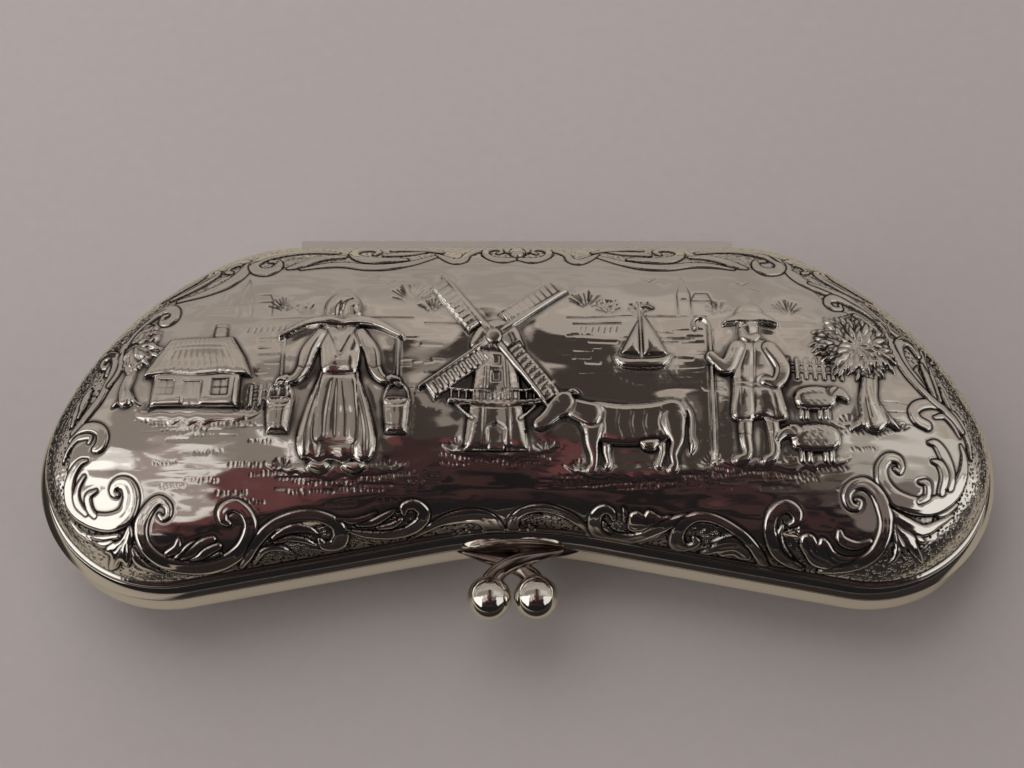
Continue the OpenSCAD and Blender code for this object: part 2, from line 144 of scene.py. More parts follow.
# Relief of the lid: height, darkness and matt ground on a grid of the laid-flat plan
STEP = 0.12
GRID_X0, GRID_Y0 = -84.0, -36.0
GRID_NX, GRID_NY = 1401, 617
GRID_X = GRID_X0 + STEP * np.arange(GRID_NX)
GRID_Y = GRID_Y0 + STEP * np.arange(GRID_NY)
height = np.zeros((GRID_NY, GRID_NX))
dark = np.zeros_like(height)
matt = np.zeros_like(height)
swell = np.zeros_like(height)

# How far the chasing is worn down, by distance towards the hinge
WORN = np.clip((GRID_Y[:, None] - 2) / 12, 0, 1)

GROOVE_WIDTH = 0.26
# The broad swelling of the relief is held to the first height and its detail kept at the share;
# above TOP_SOFT the whole evens out within TOP_LAST
BROAD_TOP, DETAIL_SHARE = 0.75, 0.75
TOP_SOFT, TOP_LAST = 0.95, 0.35
LINE_WIDTH = 0.17
EDGE_SOFT = 0.16


def blurred(grid, sigma, along=None):
    """The grid under a Gaussian blur of that many millimetres, and of another length along X if given."""
    fy = np.fft.fftfreq(grid.shape[0], STEP)[:, None] * sigma
    fx = np.fft.rfftfreq(grid.shape[1], STEP)[None, :] * (along or sigma)
    kernel = np.exp(-2 * math.pi ** 2 * (fx * fx + fy * fy))
    return np.fft.irfft2(np.fft.rfft2(grid) * kernel, s=grid.shape)


def cells(x0, x1, y0, y1):
    """The part of the grid in a box, as two slices and its coordinates."""
    i0, i1 = (int(round((x - GRID_X0) / STEP)) for x in (x0, x1))
    j0, j1 = (int(round((y - GRID_Y0) / STEP)) for y in (y0, y1))
    rows, cols = slice(max(j0, 0), min(j1, GRID_NY)), slice(max(i0, 0), min(i1, GRID_NX))
    return rows, cols, GRID_X[cols][None, :], GRID_Y[rows][:, None]


def spline(points, closed=False, step=0.2):
    """A smooth curve through the points, in every column."""
    p = np.array(points, float)
    if closed:
        p = np.vstack([p[-1:], p, p[:2]])
    else:
        p = np.vstack([2 * p[0] - p[1], p, 2 * p[-1] - p[-2]])
    out = []
    for a, b, c, d in zip(p[:-3], p[1:-2], p[2:-1], p[3:]):
        n = max(2, int(math.hypot(*(c - b)[:2]) / step))
        t = np.linspace(0, 1, n, endpoint=False)[:, None]
        out.append((2 * b + (c - a) * t + (2 * a - 5 * b + 4 * c - d) * t ** 2
                    + (3 * b - a - 3 * c + d) * t ** 3) / 2)
    if not closed:
        out.append(p[-2:-1])
    return np.vstack(out)


def straight(points, closed=True, step=0.2):
    """Straight runs through the points."""
    p = np.array(points, float)
    ends = np.vstack([p[1:], p[:1]]) if closed else p[1:]
    out = [a + (b - a) * np.linspace(0, 1, max(2, int(math.hypot(*(b - a)[:2]) / step)), endpoint=False)[:, None]
           for a, b in zip(p, ends)]
    return np.vstack(out + ([] if closed else [p[-1:]]))


def nearness(path, widths, reach):
    """Distance from each cell to the edge of a stroke along the path, negative inside, and its half-width."""
    r = widths.max() + reach
    rows, cols, x, y = cells(path[:, 0].min() - r, path[:, 0].max() + r,
                             path[:, 1].min() - r, path[:, 1].max() + r)
    d = np.full((y.size, x.size), float(reach))
    w = np.full_like(d, widths[0])
    for (px, py), pw in zip(path, widths):
        r = pw + reach
        i = slice(*np.searchsorted(x[0], (px - r, px + r)))
        j = slice(*np.searchsorted(y[:, 0], (py - r, py + r)))
        away = np.hypot(x[:, i] - px, y[j] - py) - pw
        closer = away < d[j, i]
        d[j, i][closer] = away[closer]
        w[j, i][closer] = pw
    return rows, cols, d, w


def put(rows, cols, d, top, groove=0.13, ink=0.85, lift=0.0, ground=0.0):
    """Lays a form over the relief: its top where d is negative, a chased groove outside it, and oxide with painted
    shade round it.
    """
    m = np.clip(0.5 - d / EDGE_SOFT, 0, 1)
    h, k = height[rows, cols], dark[rows, cols]
    h -= groove * np.exp(-(np.clip(d, 0, None) / GROOVE_WIDTH) ** 2) * (1 - m)
    h[...] = h * (1 - m) + top * m
    k *= 1 - m
    # Oxide along the outline, and round the form a broad soft darkening of the ground that is partly oxide and partly
    # painted shade
    outline_oxide_and_shade = 0.85 * np.exp(-((d - 0.08) / 0.16) ** 2) + 0.3 * np.exp(-(np.clip(d, 0, None) / 0.6) ** 2) * (1 - m)
    np.maximum(k, ink * outline_oxide_and_shade, out=k)
    matt[rows, cols] = matt[rows, cols] * (1 - m) + ground * m
    np.maximum(swell[rows, cols], lift * m, out=swell[rows, cols])


def rounded(t, power=2.0):
    return (1 - (1 - np.clip(t, 0, 1)) ** power) ** (1 / power)


def lay(points, tall=0.55, base=0.0, hollow=0.0, power=2.2, flat=0.0, **how):
    """A stroke through points (x, y, half-width), rounded or flat across, and hollowed along its middle."""
    path = spline(points)
    widths = np.maximum(path[:, 2], 0.08)
    rows, cols, d, w = nearness(path[:, :2], widths, 1.0)
    depth = -d / w
    section = (1 - flat) * rounded(depth, power) + flat * rounded(-d / 0.3)
    top = base + tall * np.minimum(1, w / 0.7) * section
    if hollow:
        top = top - hollow * np.clip((depth - 0.45) / 0.55, 0, 1) ** 2
    put(rows, cols, d, top, **how)


def cut(points, width=LINE_WIDTH, deep=0.14, ink=0.9, curved=True):
    """An engraved line."""
    path = spline(points) if curved and len(points) > 2 else straight(points, closed=False)
    rows, cols, d, _ = nearness(path[:, :2], np.full(len(path), 0.01), 0.9)
    line = np.exp(-(np.clip(d, 0, None) / width) ** 2)
    height[rows, cols] -= deep * line
    np.maximum(dark[rows, cols], ink * line, out=dark[rows, cols])


def fill(points, tall=0.8, shoulder=1.5, base=0.0, curved=True, power=2.0, **how):
    """A closed form, domed in from its edge over the shoulder's width."""
    path = spline(points, closed=True) if curved else straight(points)
    reach = max(shoulder, 1.0) + 0.3
    rows, cols, d, _ = nearness(path[:, :2], np.full(len(path), 0.01), reach)
    x, y = GRID_X[cols][None, :], GRID_Y[rows][:, None]
    inside = np.zeros(d.shape, bool)
    for (ax, ay), (bx, by) in zip(path[:, :2], np.roll(path[:, :2], -1, axis=0)):
        if ay != by:
            inside ^= ((ay > y) != (by > y)) & (x < ax + (y - ay) * (bx - ax) / (by - ay))
    d = np.where(inside, -np.clip(d, 0, None), np.clip(d, 0, None))
    put(rows, cols, d, base + tall * rounded(-d / shoulder, power), **how)


def ticks(x0, y0, x1, y1, count, dx=0.25, dy=0.9, **how):
    """A row of short strokes from one point to another."""
    for k in range(count):
        s = k / max(count - 1, 1)
        x, y = x0 + (x1 - x0) * s, y0 + (y1 - y0) * s
        jitter = rng.uniform(-0.15, 0.15, 2)
        cut([(x + jitter[0], y + jitter[1]), (x + dx + jitter[0], y + dy + jitter[1])],
            width=0.13, deep=0.1, curved=False, **how)


def spray(x, y, radius, count, start=20, end=160, **how):
    """Strokes that radiate from a point, as foliage is engraved."""
    for k in range(count):
        a = math.radians(start + (end - start) * k / max(count - 1, 1)) + rng.uniform(-0.12, 0.12)
        r0, r1 = radius * rng.uniform(0.35, 0.55), radius * rng.uniform(0.8, 1.1)
        cut([(x + r0 * math.cos(a), y + r0 * math.sin(a)), (x + r1 * math.cos(a), y + r1 * math.sin(a))],
            curved=False, **how)


def dashes(x0, x1, y0, y1, count, longest=4.0, **how):
    """Loose level hatching in a box."""
    for _ in range(count):
        x, y = rng.uniform(x0, x1), rng.uniform(y0, y1)
        n = rng.uniform(0.3, 1) * longest / 2
        tilt = rng.uniform(-0.12, 0.12)
        cut([(max(x - n, x0), y - tilt), (min(x + n, x1), y + tilt)], width=rng.uniform(0.1, 0.15),
            deep=rng.uniform(0.04, 0.1), ink=rng.uniform(0.4, 0.95), curved=False, **how)


def mirrored(points):
    return [(-p[0],) + tuple(p[1:]) for p in points]


# The line through the scrolls: outside it, up to the rim, the ground is matted
GROUND_LINE = [
    (-71, -8), (-72.3, -14), (-71.6, -18.5), (-68, -21.3), (-62, -21), (-59.2, -23), (-57.5, -27),
    (-52, -29), (-46, -28), (-40.5, -25), (-36.4, -22), (-32, -21.2), (-28.6, -22.4), (-25, -21.6),
    (-20, -20.3), (-16, -19.8), (-14.4, -22.6), (-11, -21.4), (-7, -21), (-4.2, -22), (-2.2, -24.2),
    (-0.8, -22.4), (1, -20.6), (4, -20), (8.5, -21.4), (11.8, -23.2), (12.8, -20.6), (15.2, -20.6), (17.8, -21),
    (21, -21), (25, -21.4), (28, -20.9), (31, -21.2), (35, -23.4), (39.4, -27), (40, -22), (42.2, -19.6),
    (43.8, -21.6), (44.8, -25), (48, -26), (52, -28.3), (56.2, -26), (57.6, -21.8), (57.4, -18),
    (60.2, -18.4), (64.5, -19), (69, -17), (71, -12), (72, -8), (69, -3.4), (66, -.3), (64, 1.8),
    (62.2, 4), (61, 6), (60.4, 8.2), (59.2, 10), (57.5, 11.8), (55.6, 14), (53, 15), (51, 17),
    (48.5, 20.4), (45.5, 22.6), (42, 22.6),
    (38, 23.2), (33, 23.6), (29.5, 23.8), (25.5, 23.2), (21.5, 23.2), (17, 24.4), (13.4, 26),
    (10.6, 24.8), (8, 26.6), (4, 25.2), (0, 25.4), (-4, 25.2), (-8, 26.6), (-10.6, 24.8), (-13.4, 26),
    (-17, 24.4), (-21.5, 23.2), (-25.5, 23.2), (-29.5, 23.8), (-33, 23.6), (-38, 23.2), (-42, 22.6),
    (-45.5, 22.6), (-48.5, 20.4), (-53, 18.6), (-58, 17), (-60.6, 13), (-62.2, 10), (-63.6, 7.4),
    (-64.3, 4.6), (-66, .4), (-67.6, -2.4), (-70, -5.6),
]

# Leaves that lie under the scrolls, then the scroll bands, each point x, y and half-width
LEAVES = [
    [(-61, -26, .5), (-60.5, -27.6, .8), (-59.5, -28.8, .7), (-57.4, -29.9, .3)],
    [(-72.2, -21, .2), (-70.4, -23.2, .6), (-67.4, -24.2, .7), (-63, -23.8, .4)],
    [(-68.6, -23.6, .2), (-66.4, -25.1, .5), (-64, -24.8, .4)],
    [(59.3, -23.2, .3), (60, -25.3, .6), (59.7, -27.4, .4), (59, -28.4, .2)],
    [(59, -21.2, .4), (60.2, -24.2, .8), (61.4, -26.4, .2)],
    [(61.2, -22.2, .4), (63.1, -24, .6), (64.6, -24.8, .2)],
    [(58.8, -20.6, .5), (60.8, -23.4, .95), (62.8, -25.8, .7), (65.2, -28.1, .2)],
    [(58.4, -20, .5), (60.8, -21.8, 1.0), (64.1, -22.9, .9), (66.7, -21.8, .6), (69.5, -20.3, .2)],
    [(65, -20.2, .2), (67.6, -20.2, .5), (70, -18.6, .3)],
    [(-41.8, -26.8, .2), (-39, -25.9, .5), (-37.2, -26.8, .2)],
    [(-38.8, -24.6, .2), (-35.3, -23, .5), (-31.9, -23.8, .25)],
    [(31.6, -25.2, .2), (33.2, -24.4, .5), (34.9, -24.2, .5), (36.4, -25, .2)],
    [(30.4, -26.5, .2), (33, -26, .4), (35.6, -26.8, .2)],
    [(-33.6, -26.4, .2), (-31.2, -26.9, .45), (-28.4, -26.4, .2)],
    [(-12.6, -24, .2), (-10.6, -22.6, .5), (-8.6, -22.6, .4), (-7.6, -23.8, .2)],
    [(-11.4, -25.6, .2), (-9.4, -24.6, .4), (-8.2, -25.4, .2)],
]
LEFT_SCROLLS = [
    [(-68.5, -11.7, .25), (-69.8, -12.1, .6), (-71.3, -14.1, .9), (-71.8, -16.6, 1.1), (-71, -19.2, 1.3),
     (-67.8, -21, 1.4), (-64.4, -21.6, 1.5), (-61.6, -20.6, 1.45), (-60.6, -18, 1.35), (-61.2, -16, 1.15),
     (-62.6, -15.5, .95), (-63.7, -16.2, .6), (-63.6, -17.2, .5), (-62.9, -17.4, .4)],
    [(-68.9, -14.2, .3), (-70.1, -16.2, .5), (-69.9, -18.4, .6), (-68.4, -20, .4)],
    [(-66.7, -16.6, .3), (-68, -17.4, .6), (-67.8, -19.1, .6), (-66.8, -20.4, .4)],
    [(-71.3, -4, .3), (-70.8, -2.2, .7), (-70.5, -.6, .7), (-70.1, .8, .4)],
    [(-72.3, -5.4, .3), (-72, -3.4, .6), (-72, -1.9, .5), (-71.6, -1, .2)],
    [(-72.2, -8.1, .3), (-70.7, -6.7, .7), (-69.2, -6.2, .8), (-67.6, -6.3, .9), (-66.3, -7.1, .95),
     (-65.9, -8.3, 1.0), (-66.3, -9.6, .9), (-67.1, -10, .6)],
    [(-73.2, -11.4, .2), (-72.1, -9.4, .4), (-70.7, -8, .5), (-69.2, -7.7, .5), (-68.1, -7.9, .4), (-68.3, -8.7, .3)],
    [(-72, -6.9, .4), (-70.3, -5.3, .6), (-68.8, -3.3, .7), (-67.4, -1.1, .7), (-66.7, 1.2, .7),
     (-66.1, 3.3, .7), (-65.9, 5.2, .8), (-66.5, 6.6, .9), (-67.8, 7.2, .9), (-69, 6.7, .8), (-69.1, 5.5, .6),
     (-68, 4.9, .45), (-67.5, 5.5, .3)],
    [(-64.2, 7.9, .3), (-63.3, 9.5, .55), (-62.1, 10.8, .6), (-61.2, 11.5, .5), (-60.8, 12.2, .2)],
    [(-63.9, 7, .2), (-63.1, 7.8, .35), (-62.3, 8, .2)],
    [(-66.3, .9, .3), (-65.2, 2.8, .4), (-64.7, 4.8, .45), (-64.9, 6.8, .5), (-64.5, 8.8, .5), (-63.7, 11.1, .55),
     (-62.7, 12.9, .6), (-61.8, 13.9, .7), (-60.2, 15.3, .8), (-58.6, 15.8, .9), (-57.3, 14.9, .9),
     (-57.2, 13.6, .9), (-58.2, 12.7, .8), (-59.3, 12.9, .6), (-59.4, 14.1, .4), (-58.6, 14.4, .3)],
    [(-54.4, -27.6, .3), (-53, -26.6, .5), (-51.4, -25.3, .5), (-50, -24.7, .4)],
    [(-53.6, -27.8, .3), (-51.3, -26.2, .6), (-49.6, -24.9, .65), (-48, -24.3, .5)],
    [(-53.2, -28.4, .3), (-50.7, -27.4, .6), (-49.1, -26.2, .65), (-47.3, -25.4, .5)],
    [(-52.8, -28.9, .3), (-50.7, -28.5, .6), (-49.1, -27.8, .65), (-47.4, -26.8, .5)],
    [(-53.2, -24.4, .3), (-53.6, -25.6, .6), (-55.2, -26.6, .5)],
    [(-56, -20.6, .3), (-55.4, -21.2, .4), (-54.6, -20.6, .5), (-54.7, -19.2, .6), (-56.2, -18.4, .8),
     (-57.8, -19.8, .95), (-59, -22.4, 1.1), (-58.7, -25.1, 1.1), (-56.8, -27.5, 1.2), (-54, -28.8, 1.2), (-50.3, -29.1, 1.3),
     (-46.9, -28, 1.1), (-43.8, -25.8, 1.0), (-42.1, -22.7, 1.0), (-42.6, -20.3, 1.0), (-44.3, -19.1, 1.0),
     (-46, -19.8, .9), (-46.2, -21.3, .7), (-45.4, -21.9, .45)],
]
RIGHT_SCROLLS = [
    [(59.2, -13.4, .3), (59.9, -13.9, .4), (60.3, -13, .5), (59.7, -11.9, .7), (58.2, -11.8, .85),
     (57, -13.4, .95), (57.3, -15.9, 1.1),
     (59.2, -18, 1.3), (62.4, -19.1, 1.4), (65.8, -18.9, 1.4), (69, -17, 1.3), (70.9, -14, 1.0),
     (71.4, -11, .6), (71, -9, .2)],
    [(63.2, -15.4, .3), (64.4, -15.6, .6), (64.4, -17.4, .6), (63, -18.4, .4)],
    [(65.2, -9, .3), (66.4, -9.2, .7), (67.6, -11, 1.0), (68.4, -13.6, 1.0), (68.2, -15.8, .8)],
    [(65.6, -12, .3), (66.7, -12.4, .6), (67.4, -14.2, .7), (66.8, -16.8, .6)],
    [(65.1, -6.2, .9), (63.6, -5.4, .9), (63.1, -3.9, .9), (64.6, -2.6, .9), (67.3, -2.3, .8),
     (69.8, -3.3, .7), (71.6, -5.4, .7), (72.6, -8, .6), (72.9, -11, .25)],
    [(66.8, -4.6, .25), (68.6, -4.3, .5), (70, -5.6, .5), (71, -7.6, .2)],
    [(70.1, -2.6, .3), (69.6, -.7, .45), (69.5, .9, .3)],
    [(68.5, -1.4, .3), (68.2, .7, .45), (68.1, 3, .45), (68.3, 5, .2)],
    [(67.6, -1.2, .3), (67.2, 1.2, .5), (66.9, 3.4, .5), (66.6, 5.4, .25)],
    [(66.2, .2, .3), (65.6, 1.8, .5), (65.1, 3.5, .45), (65.8, 4.8, .2)],
    [(66.4, 7.2, .6), (65.8, 8.9, .85), (64.4, 9.7, .9), (63, 8.6, .9), (62.8, 6.4, .8), (63.6, 3.9, .7),
     (65, 1.5, .6), (66.2, -.3, .3)],
    [(56.2, 13.9, .4), (57.3, 13.1, .6), (58.4, 11.9, .6), (59.4, 10.5, .3)],
    [(71.6, -6.6, .4), (70.4, -4.8, .5), (68.7, -3.1, .6), (66.7, -1.4, .6), (65.1, .2, .6), (63.5, 2.4, .6),
     (62.1, 5.1, .6), (61.3, 8.2, .6), (61.2, 11.2, .6), (60.4, 13.4, .6), (58.8, 14.8, .7), (57.1, 15.8, .75),
     (55.4, 16.7, .75), (53.7, 17.3, .8), (52.2, 17, .7), (51.7, 15.9, .6), (52.5, 15, .5), (53.9, 15.1, .4),
     (54, 15.9, .3)],
    [(60.4, 13.6, .3), (58.6, 15.8, .5), (55.4, 18, .6), (52, 19.4, .5), (49.4, 20.3, .3)],
    [(50.4, -23.2, .4), (50.9, -24.4, .7), (53, -25.2, .7), (55.2, -24.6, .4)],
    [(52.9, -18.3, .3), (53.5, -18.6, .4), (53.1, -19.5, .5), (51.9, -19.2, .65), (51.4, -17.6, .75),
     (52.4, -16.2, .85), (54.2, -15.8, .95), (55.9, -17.1, 1.0), (57, -19.2, 1.1), (57.6, -21.8, 1.1), (57.2, -24.5, 1.2),
     (55.9, -26.9, 1.1), (54, -28.4, 1.0), (51.9, -29.3, .8), (49.6, -30, .4)],
]
FRONT_SCROLLS = [
    [(-45.6, -29.6, .3), (-43.6, -27.6, .5), (-41.6, -25, .7), (-39.6, -22.9, .8), (-37, -21.4, .9),
     (-34, -20.7, 1.0), (-31.2, -20.9, 1.0), (-29, -22.2, 1.1), (-28.6, -24.2, 1.2), (-29.8, -26, 1.1),
     (-31.6, -26.1, .8), (-31.9, -24.9, .4)],
    [(-39, -24.3, .25), (-37, -23.1, .55), (-35, -22.6, .7), (-33.2, -22.9, .5), (-32.1, -23.6, .2)],
    [(-38.8, -25.1, .2), (-36.6, -24.5, .4), (-34.4, -24.8, .5), (-32.8, -25.8, .3)],
    [(-43.4, -29, .2), (-42, -27.6, .3), (-40.8, -26.5, .4), (-39.2, -26.1, .45), (-37.7, -26.3, .4),
     (-36.8, -27.3, .2)],
    [(-28.6, -21.2, .2), (-26.4, -21.6, .5), (-24.4, -21.2, .5), (-22.6, -20.2, .2)],
    [(-25.6, -22.4, .3), (-23.2, -21.9, .6), (-20.8, -20.6, .5), (-19.6, -19.8, .2)],
    [(-27.2, -23.4, .3), (-24.5, -24.2, .7), (-21, -24.6, .9), (-18, -23.9, 1.0), (-15.8, -22.2, 1.0),
     (-15.2, -20.3, 1.0), (-16.4, -19, .9), (-18, -19.3, .7), (-18.3, -20.5, .4)],
    [(-22.6, -23, .3), (-20.4, -22.6, .5), (-18.8, -21.6, .3)],
    [(-18.6, -26, .2), (-16, -24.4, .45), (-13.6, -22.8, .7), (-11, -21.7, 1.1), (-8.6, -21.3, 1.4),
     (-6.4, -21.5, 1.6), (-4.8, -22.6, 1.8), (-4.2, -24.2, 1.9), (-4.3, -25.2, 1.6)],
    [(2.2, -23.8, .45), (2.4, -25.2, .7), (1.4, -26.5, .9), (-0.1, -26, 1.05), (-0.8, -24, 1.0), (-0.4, -22, .95),
     (0.9, -20.5, .85), (2.9, -19.8, .8), (5.2, -19.9, .8), (7.6, -20.8, .75), (9.6, -22.1, .7),
     (11.6, -23.9, .6), (13.4, -25.7, .5), (15.6, -27.1, .45), (18.2, -27.6, .4), (20.6, -26.6, .4),
     (22.6, -24.8, .35), (24.2, -23.2, .25)],
    [(1, -23.4, .25), (0.9, -22.3, .35), (2, -21.5, .35), (3.8, -21.3, .2)],
    [(15.6, -21.6, .35), (15.1, -20.3, .6), (13.8, -19.8, .85), (12.7, -21, 1.0), (12.8, -22.9, 1.1),
     (14.1, -24.6, 1.2), (16.2, -25.6, 1.25), (18.5, -25.7, 1.2), (20.6, -24.8, 1.1), (22.4, -23.3, 1.0),
     (24.4, -22, .9), (26.4, -21.1, .7), (28.6, -20.6, .4)],
    [(14.1, -22.3, .2), (14.6, -23.3, .4), (15.8, -24.4, .25)],
    [(17, -19.5, .2), (17.3, -20.6, .4), (17.3, -21.8, .25)],
    [(28.6, -24.6, .35), (29.3, -25.6, .6), (28, -26.7, .9), (26.5, -26.1, 1.1), (25.9, -24.1, 1.1),
     (26.4, -22.3, 1.0), (28, -21, .85), (30, -20.9, .75), (32, -21.5, .7), (34.2, -22.7, .7), (36.2, -24.1, .7),
     (38, -25.9, .7), (39.6, -27.8, .65), (41.2, -29.5, .5), (43.4, -30.8, .3)],
    [(45.4, -28.7, .2), (43.4, -27.3, .5), (42, -25.6, .6), (41.4, -23.7, .5), (41.7, -22.3, .25)],
    [(46.8, -29.8, .4), (44.2, -28.6, .7), (41.8, -26.8, .8), (40.3, -24.4, .9), (39.8, -22, .9),
     (40.5, -20, 1.0), (42.2, -19.2, 1.0), (43.6, -20.2, .9), (43.7, -21.6, .6), (42.8, -22.1, .35)],
]
# Lobed leaves of the border, each an outline and its veins
LOBED_LEAVES = [
    ([(-60.9, -22), (-62.5, -24.2), (-64.4, -25), (-66.2, -26.2), (-65.2, -26.9), (-66, -28.2), (-66.9, -29.6),
      (-64.8, -29), (-63.4, -27.8), (-62.6, -28.8), (-61.4, -27.4), (-61, -25.2), (-60.4, -23.6)],
     [[(-61.1, -23), (-62.7, -25.7), (-65, -28.4)], [(-61.9, -24.4), (-63.8, -26)], [(-61.7, -25), (-62.2, -27.4)]]),
    ([(44.7, -25.2), (44.9, -23.8), (46, -23.5), (46.8, -24.1), (47.4, -25), (47.8, -24.1), (48.8, -24.6),
      (50.2, -26.3), (51.8, -27), (53.8, -26.9), (55.6, -25.6), (55.5, -28), (53.2, -29.4), (50, -29.5),
      (47.5, -28.7), (45.6, -26.6)],
     [[(45.5, -24.6), (47, -26.8), (50, -28.6)], [(48.6, -25.7), (50.6, -27.8), (53.8, -28.4)],
      [(46.6, -24.8), (47.4, -26.4)]]),
    ([(17.9, -22), (18.1, -20.5), (19.2, -20), (20.2, -20.5), (20.9, -19.8), (21.8, -20.2), (23, -20.8), (24.6, -20.7),
      (23.7, -21.8), (22.2, -22.8), (20.6, -23.5), (19, -23.8), (18.1, -23.2)],
     [[(18.3, -22.7), (19.1, -23.2), (20.2, -22.8)], [(20.3, -20.8), (20.8, -21.8)], [(22, -20.6), (21.9, -21.6)]]),
    ([(30.6, -27.6), (31.6, -26.3), (32.3, -25), (33.8, -24.2), (35.4, -24.3), (36.4, -25.1), (37.5, -26.7), (38.6, -28.4),
      (36.8, -28.4), (35.4, -27.7), (34.2, -28.2), (33, -27.5), (32, -28)],
     [[(31.2, -27.2), (33, -25.9), (35.4, -25.4)], [(33.2, -27.2), (35.2, -26.6), (37.4, -27.8)]]),
]
# One half of the back border; the other is its mirror image
BACK_SCROLLS = [
    [(-66, 8.5, .3), (-63.8, 10.6, .6), (-61.6, 12.2, .6), (-60.9, 11, .3)],
    [(-67.4, 3.4, .4), (-67.3, 6.2, .6), (-68.2, 8.4, .7), (-69.8, 8.4, .6), (-70.2, 7, .5),
     (-69.2, 6.4, .3)],
    [(-61, 18.6, .2), (-58, 20.6, .5), (-55.2, 22.6, .6), (-54.2, 24, .3)],
    [(-59, 18.2, .3), (-55.6, 19.9, .6), (-52.8, 21.8, .7), (-51.6, 23.4, .6), (-52.4, 24.5, .3)],
    [(-57.4, 17.4, .3), (-54, 18, .6), (-51, 19, .8), (-48.5, 20.4, 1.0), (-46.8, 22.4, 1.1),
     (-46.3, 24.4, 1.0), (-47.6, 25.7, .9), (-49.4, 25.1, .7), (-49.9, 23.7, .5), (-48.9, 23, .35)],
    [(-38.8, 23, .3), (-37, 23.6, .7), (-35, 24.8, .7), (-32.5, 25.7, .6), (-29.6, 26, .3)],
    [(-31, 27.4, .3), (-36, 27.9, .5), (-40, 27.4, .7), (-43.4, 26.4, .9), (-45, 24.5, .9),
     (-44.2, 22.8, .9), (-42.1, 22.4, .9), (-40.7, 23.4, .8), (-41, 24.9, .5), (-42.4, 25.2, .35)],
    [(-36.6, 22.7, .2), (-33, 23.5, .5), (-29.5, 23.7, .6), (-25.5, 23.1, .7), (-21.5, 23.2, .7),
     (-18, 24.1, .6), (-15.5, 25.3, .5), (-13.2, 26.6, .3)],
    [(-19, 25.3, .3), (-21.5, 25, .6), (-24.4, 24.9, .8), (-27, 25.5, .8), (-28.2, 27, .8),
     (-27.2, 28.5, .7), (-25.2, 28.8, .6), (-24, 27.8, .5), (-24.6, 26.9, .35)],
    [(-22.9, 26.6, .3), (-21, 26.9, .5), (-18.5, 27.2, .5), (-16, 27.8, .25)],
    [(-21.8, 28.5, .3), (-19, 28.9, .5), (-15.5, 28.5, .5), (-13, 27.6, .25)],
    [(-13.8, 26.8, .3), (-12.2, 25.4, .6), (-10.6, 24.5, .7), (-9.2, 25, .7), (-8.6, 26.5, .6),
     (-7.2, 27.8, .5), (-5.4, 28.4, .3)],
    [(-0.5, 25.3, .5), (-2.4, 24.9, .7), (-4.4, 25.5, .6), (-5.5, 27, .6), (-4.9, 28.7, .6),
     (-3.3, 29, .5), (-2.6, 27.9, .4), (-3.3, 27.2, .3)],
    [(-1.2, 29.6, .3), (-1.8, 28.2, .5), (-0.4, 27, .4)],
]


def placed(points, x, y, scale=1.0, flip=False):
    """A motif's points, put where it stands in the picture."""
    side = -scale if flip else scale
    return [(x + side * p[0], y + scale * p[1]) + tuple(scale * w for w in p[2:]) for p in points]


def ring(x, y, rx, ry, count=12):
    return [(x + rx * math.cos(2 * math.pi * k / count), y + ry * math.sin(2 * math.pi * k / count))
            for k in range(count)]


def leaf(x, y, turn, length, base):
    """A pointed leaf, slightly bent."""
    bend = rng.uniform(-0.3, 0.3)
    ux, uy = math.cos(turn), math.sin(turn)
    lay([(x, y, .12), (x + length * (.5 * ux - .5 * bend * uy), y + length * (.5 * uy + .5 * bend * ux), .2 * length),
         (x + length * ux, y + length * uy, .1)], tall=0.5, base=base, groove=0.1, ink=0.8, lift=0.4)


def tree(x, y, s, crown, count):
    """A tree: roots, trunk and boughs, and a crown of leaf clumps in an ellipse."""
    strokes = [
        [(-3.6, -.8, .3), (-1.4, .8, .9), (-.4, 3, .9)], [(3.8, -.6, .3), (1.6, 1, .9), (.4, 3, .9)],
        [(0, .4, 1.9), (-.6, 4, 1.5), (.1, 8, 1.3), (.3, 12, 1.1), (1.2, 15, .7)],
        [(-.2, 8.6, .9), (-2.8, 12, .7), (-5, 14.2, .35)], [(.4, 9.6, .8), (3.4, 12.6, .6), (5.6, 14.6, .3)],
    ]
    for points in strokes:
        lay(placed(points, x, y, s), tall=1.1, base=0.15, lift=0.5)
    for points in ([(-.7, 1), (-1.1, 5), (-.5, 9)], [(.5, 1.4), (.1, 5.4), (.6, 10)], [(-.1, 3), (-.4, 6)]):
        cut(placed(points, x, y, s), width=0.14, deep=0.12, ink=0.7)
    cx, cy, rx, ry = crown
    fill(ring(cx, cy, 0.95 * rx, 0.95 * ry, 16), tall=0.9, shoulder=0.9 * ry, base=0.1, lift=0.8)
    spots = []
    for k in range(count):
        a, r = 2.4 * k, math.sqrt((k + 0.5) / count)
        spots.append((r, a + rng.uniform(-0.1, 0.1)))
    for r, a in sorted(spots, reverse=True):
        turn = math.atan2(math.sin(a) + 0.5 * (1 - r), math.cos(a)) + rng.uniform(-0.5, 0.5)
        leaf(cx + 0.92 * rx * r * math.cos(a), cy + 0.92 * ry * r * math.sin(a), turn, 1.9 + rng.uniform(-.3, .3),
             0.95 * math.sqrt(max(1 - r * r, 0)) + 0.15)


def face(x, y, s, base):
    """A calm, general face: brow, nose, eyes and mouth as small marks."""
    fill(ring(x, y, 1.75 * s, 2.05 * s), tall=0.75, shoulder=1.7 * s, base=base, groove=0.05, ink=0.55, lift=0.6)
    top = base + 0.7
    lay([(x, y + .5 * s, .16 * s), (x, y - .35 * s, .3 * s)], tall=0.25, base=top, groove=0.02, ink=0.25)
    for side in (-0.7, 0.7):
        cut([(x + (side - .22) * s, y + .35 * s), (x + side * s, y + .45 * s), (x + (side + .22) * s, y + .35 * s)],
            width=0.12, deep=0.1, ink=0.55)
    cut([(x - .4 * s, y - .95 * s), (x, y - 1.05 * s), (x + .4 * s, y - .95 * s)], width=0.1, deep=0.08, ink=0.5)


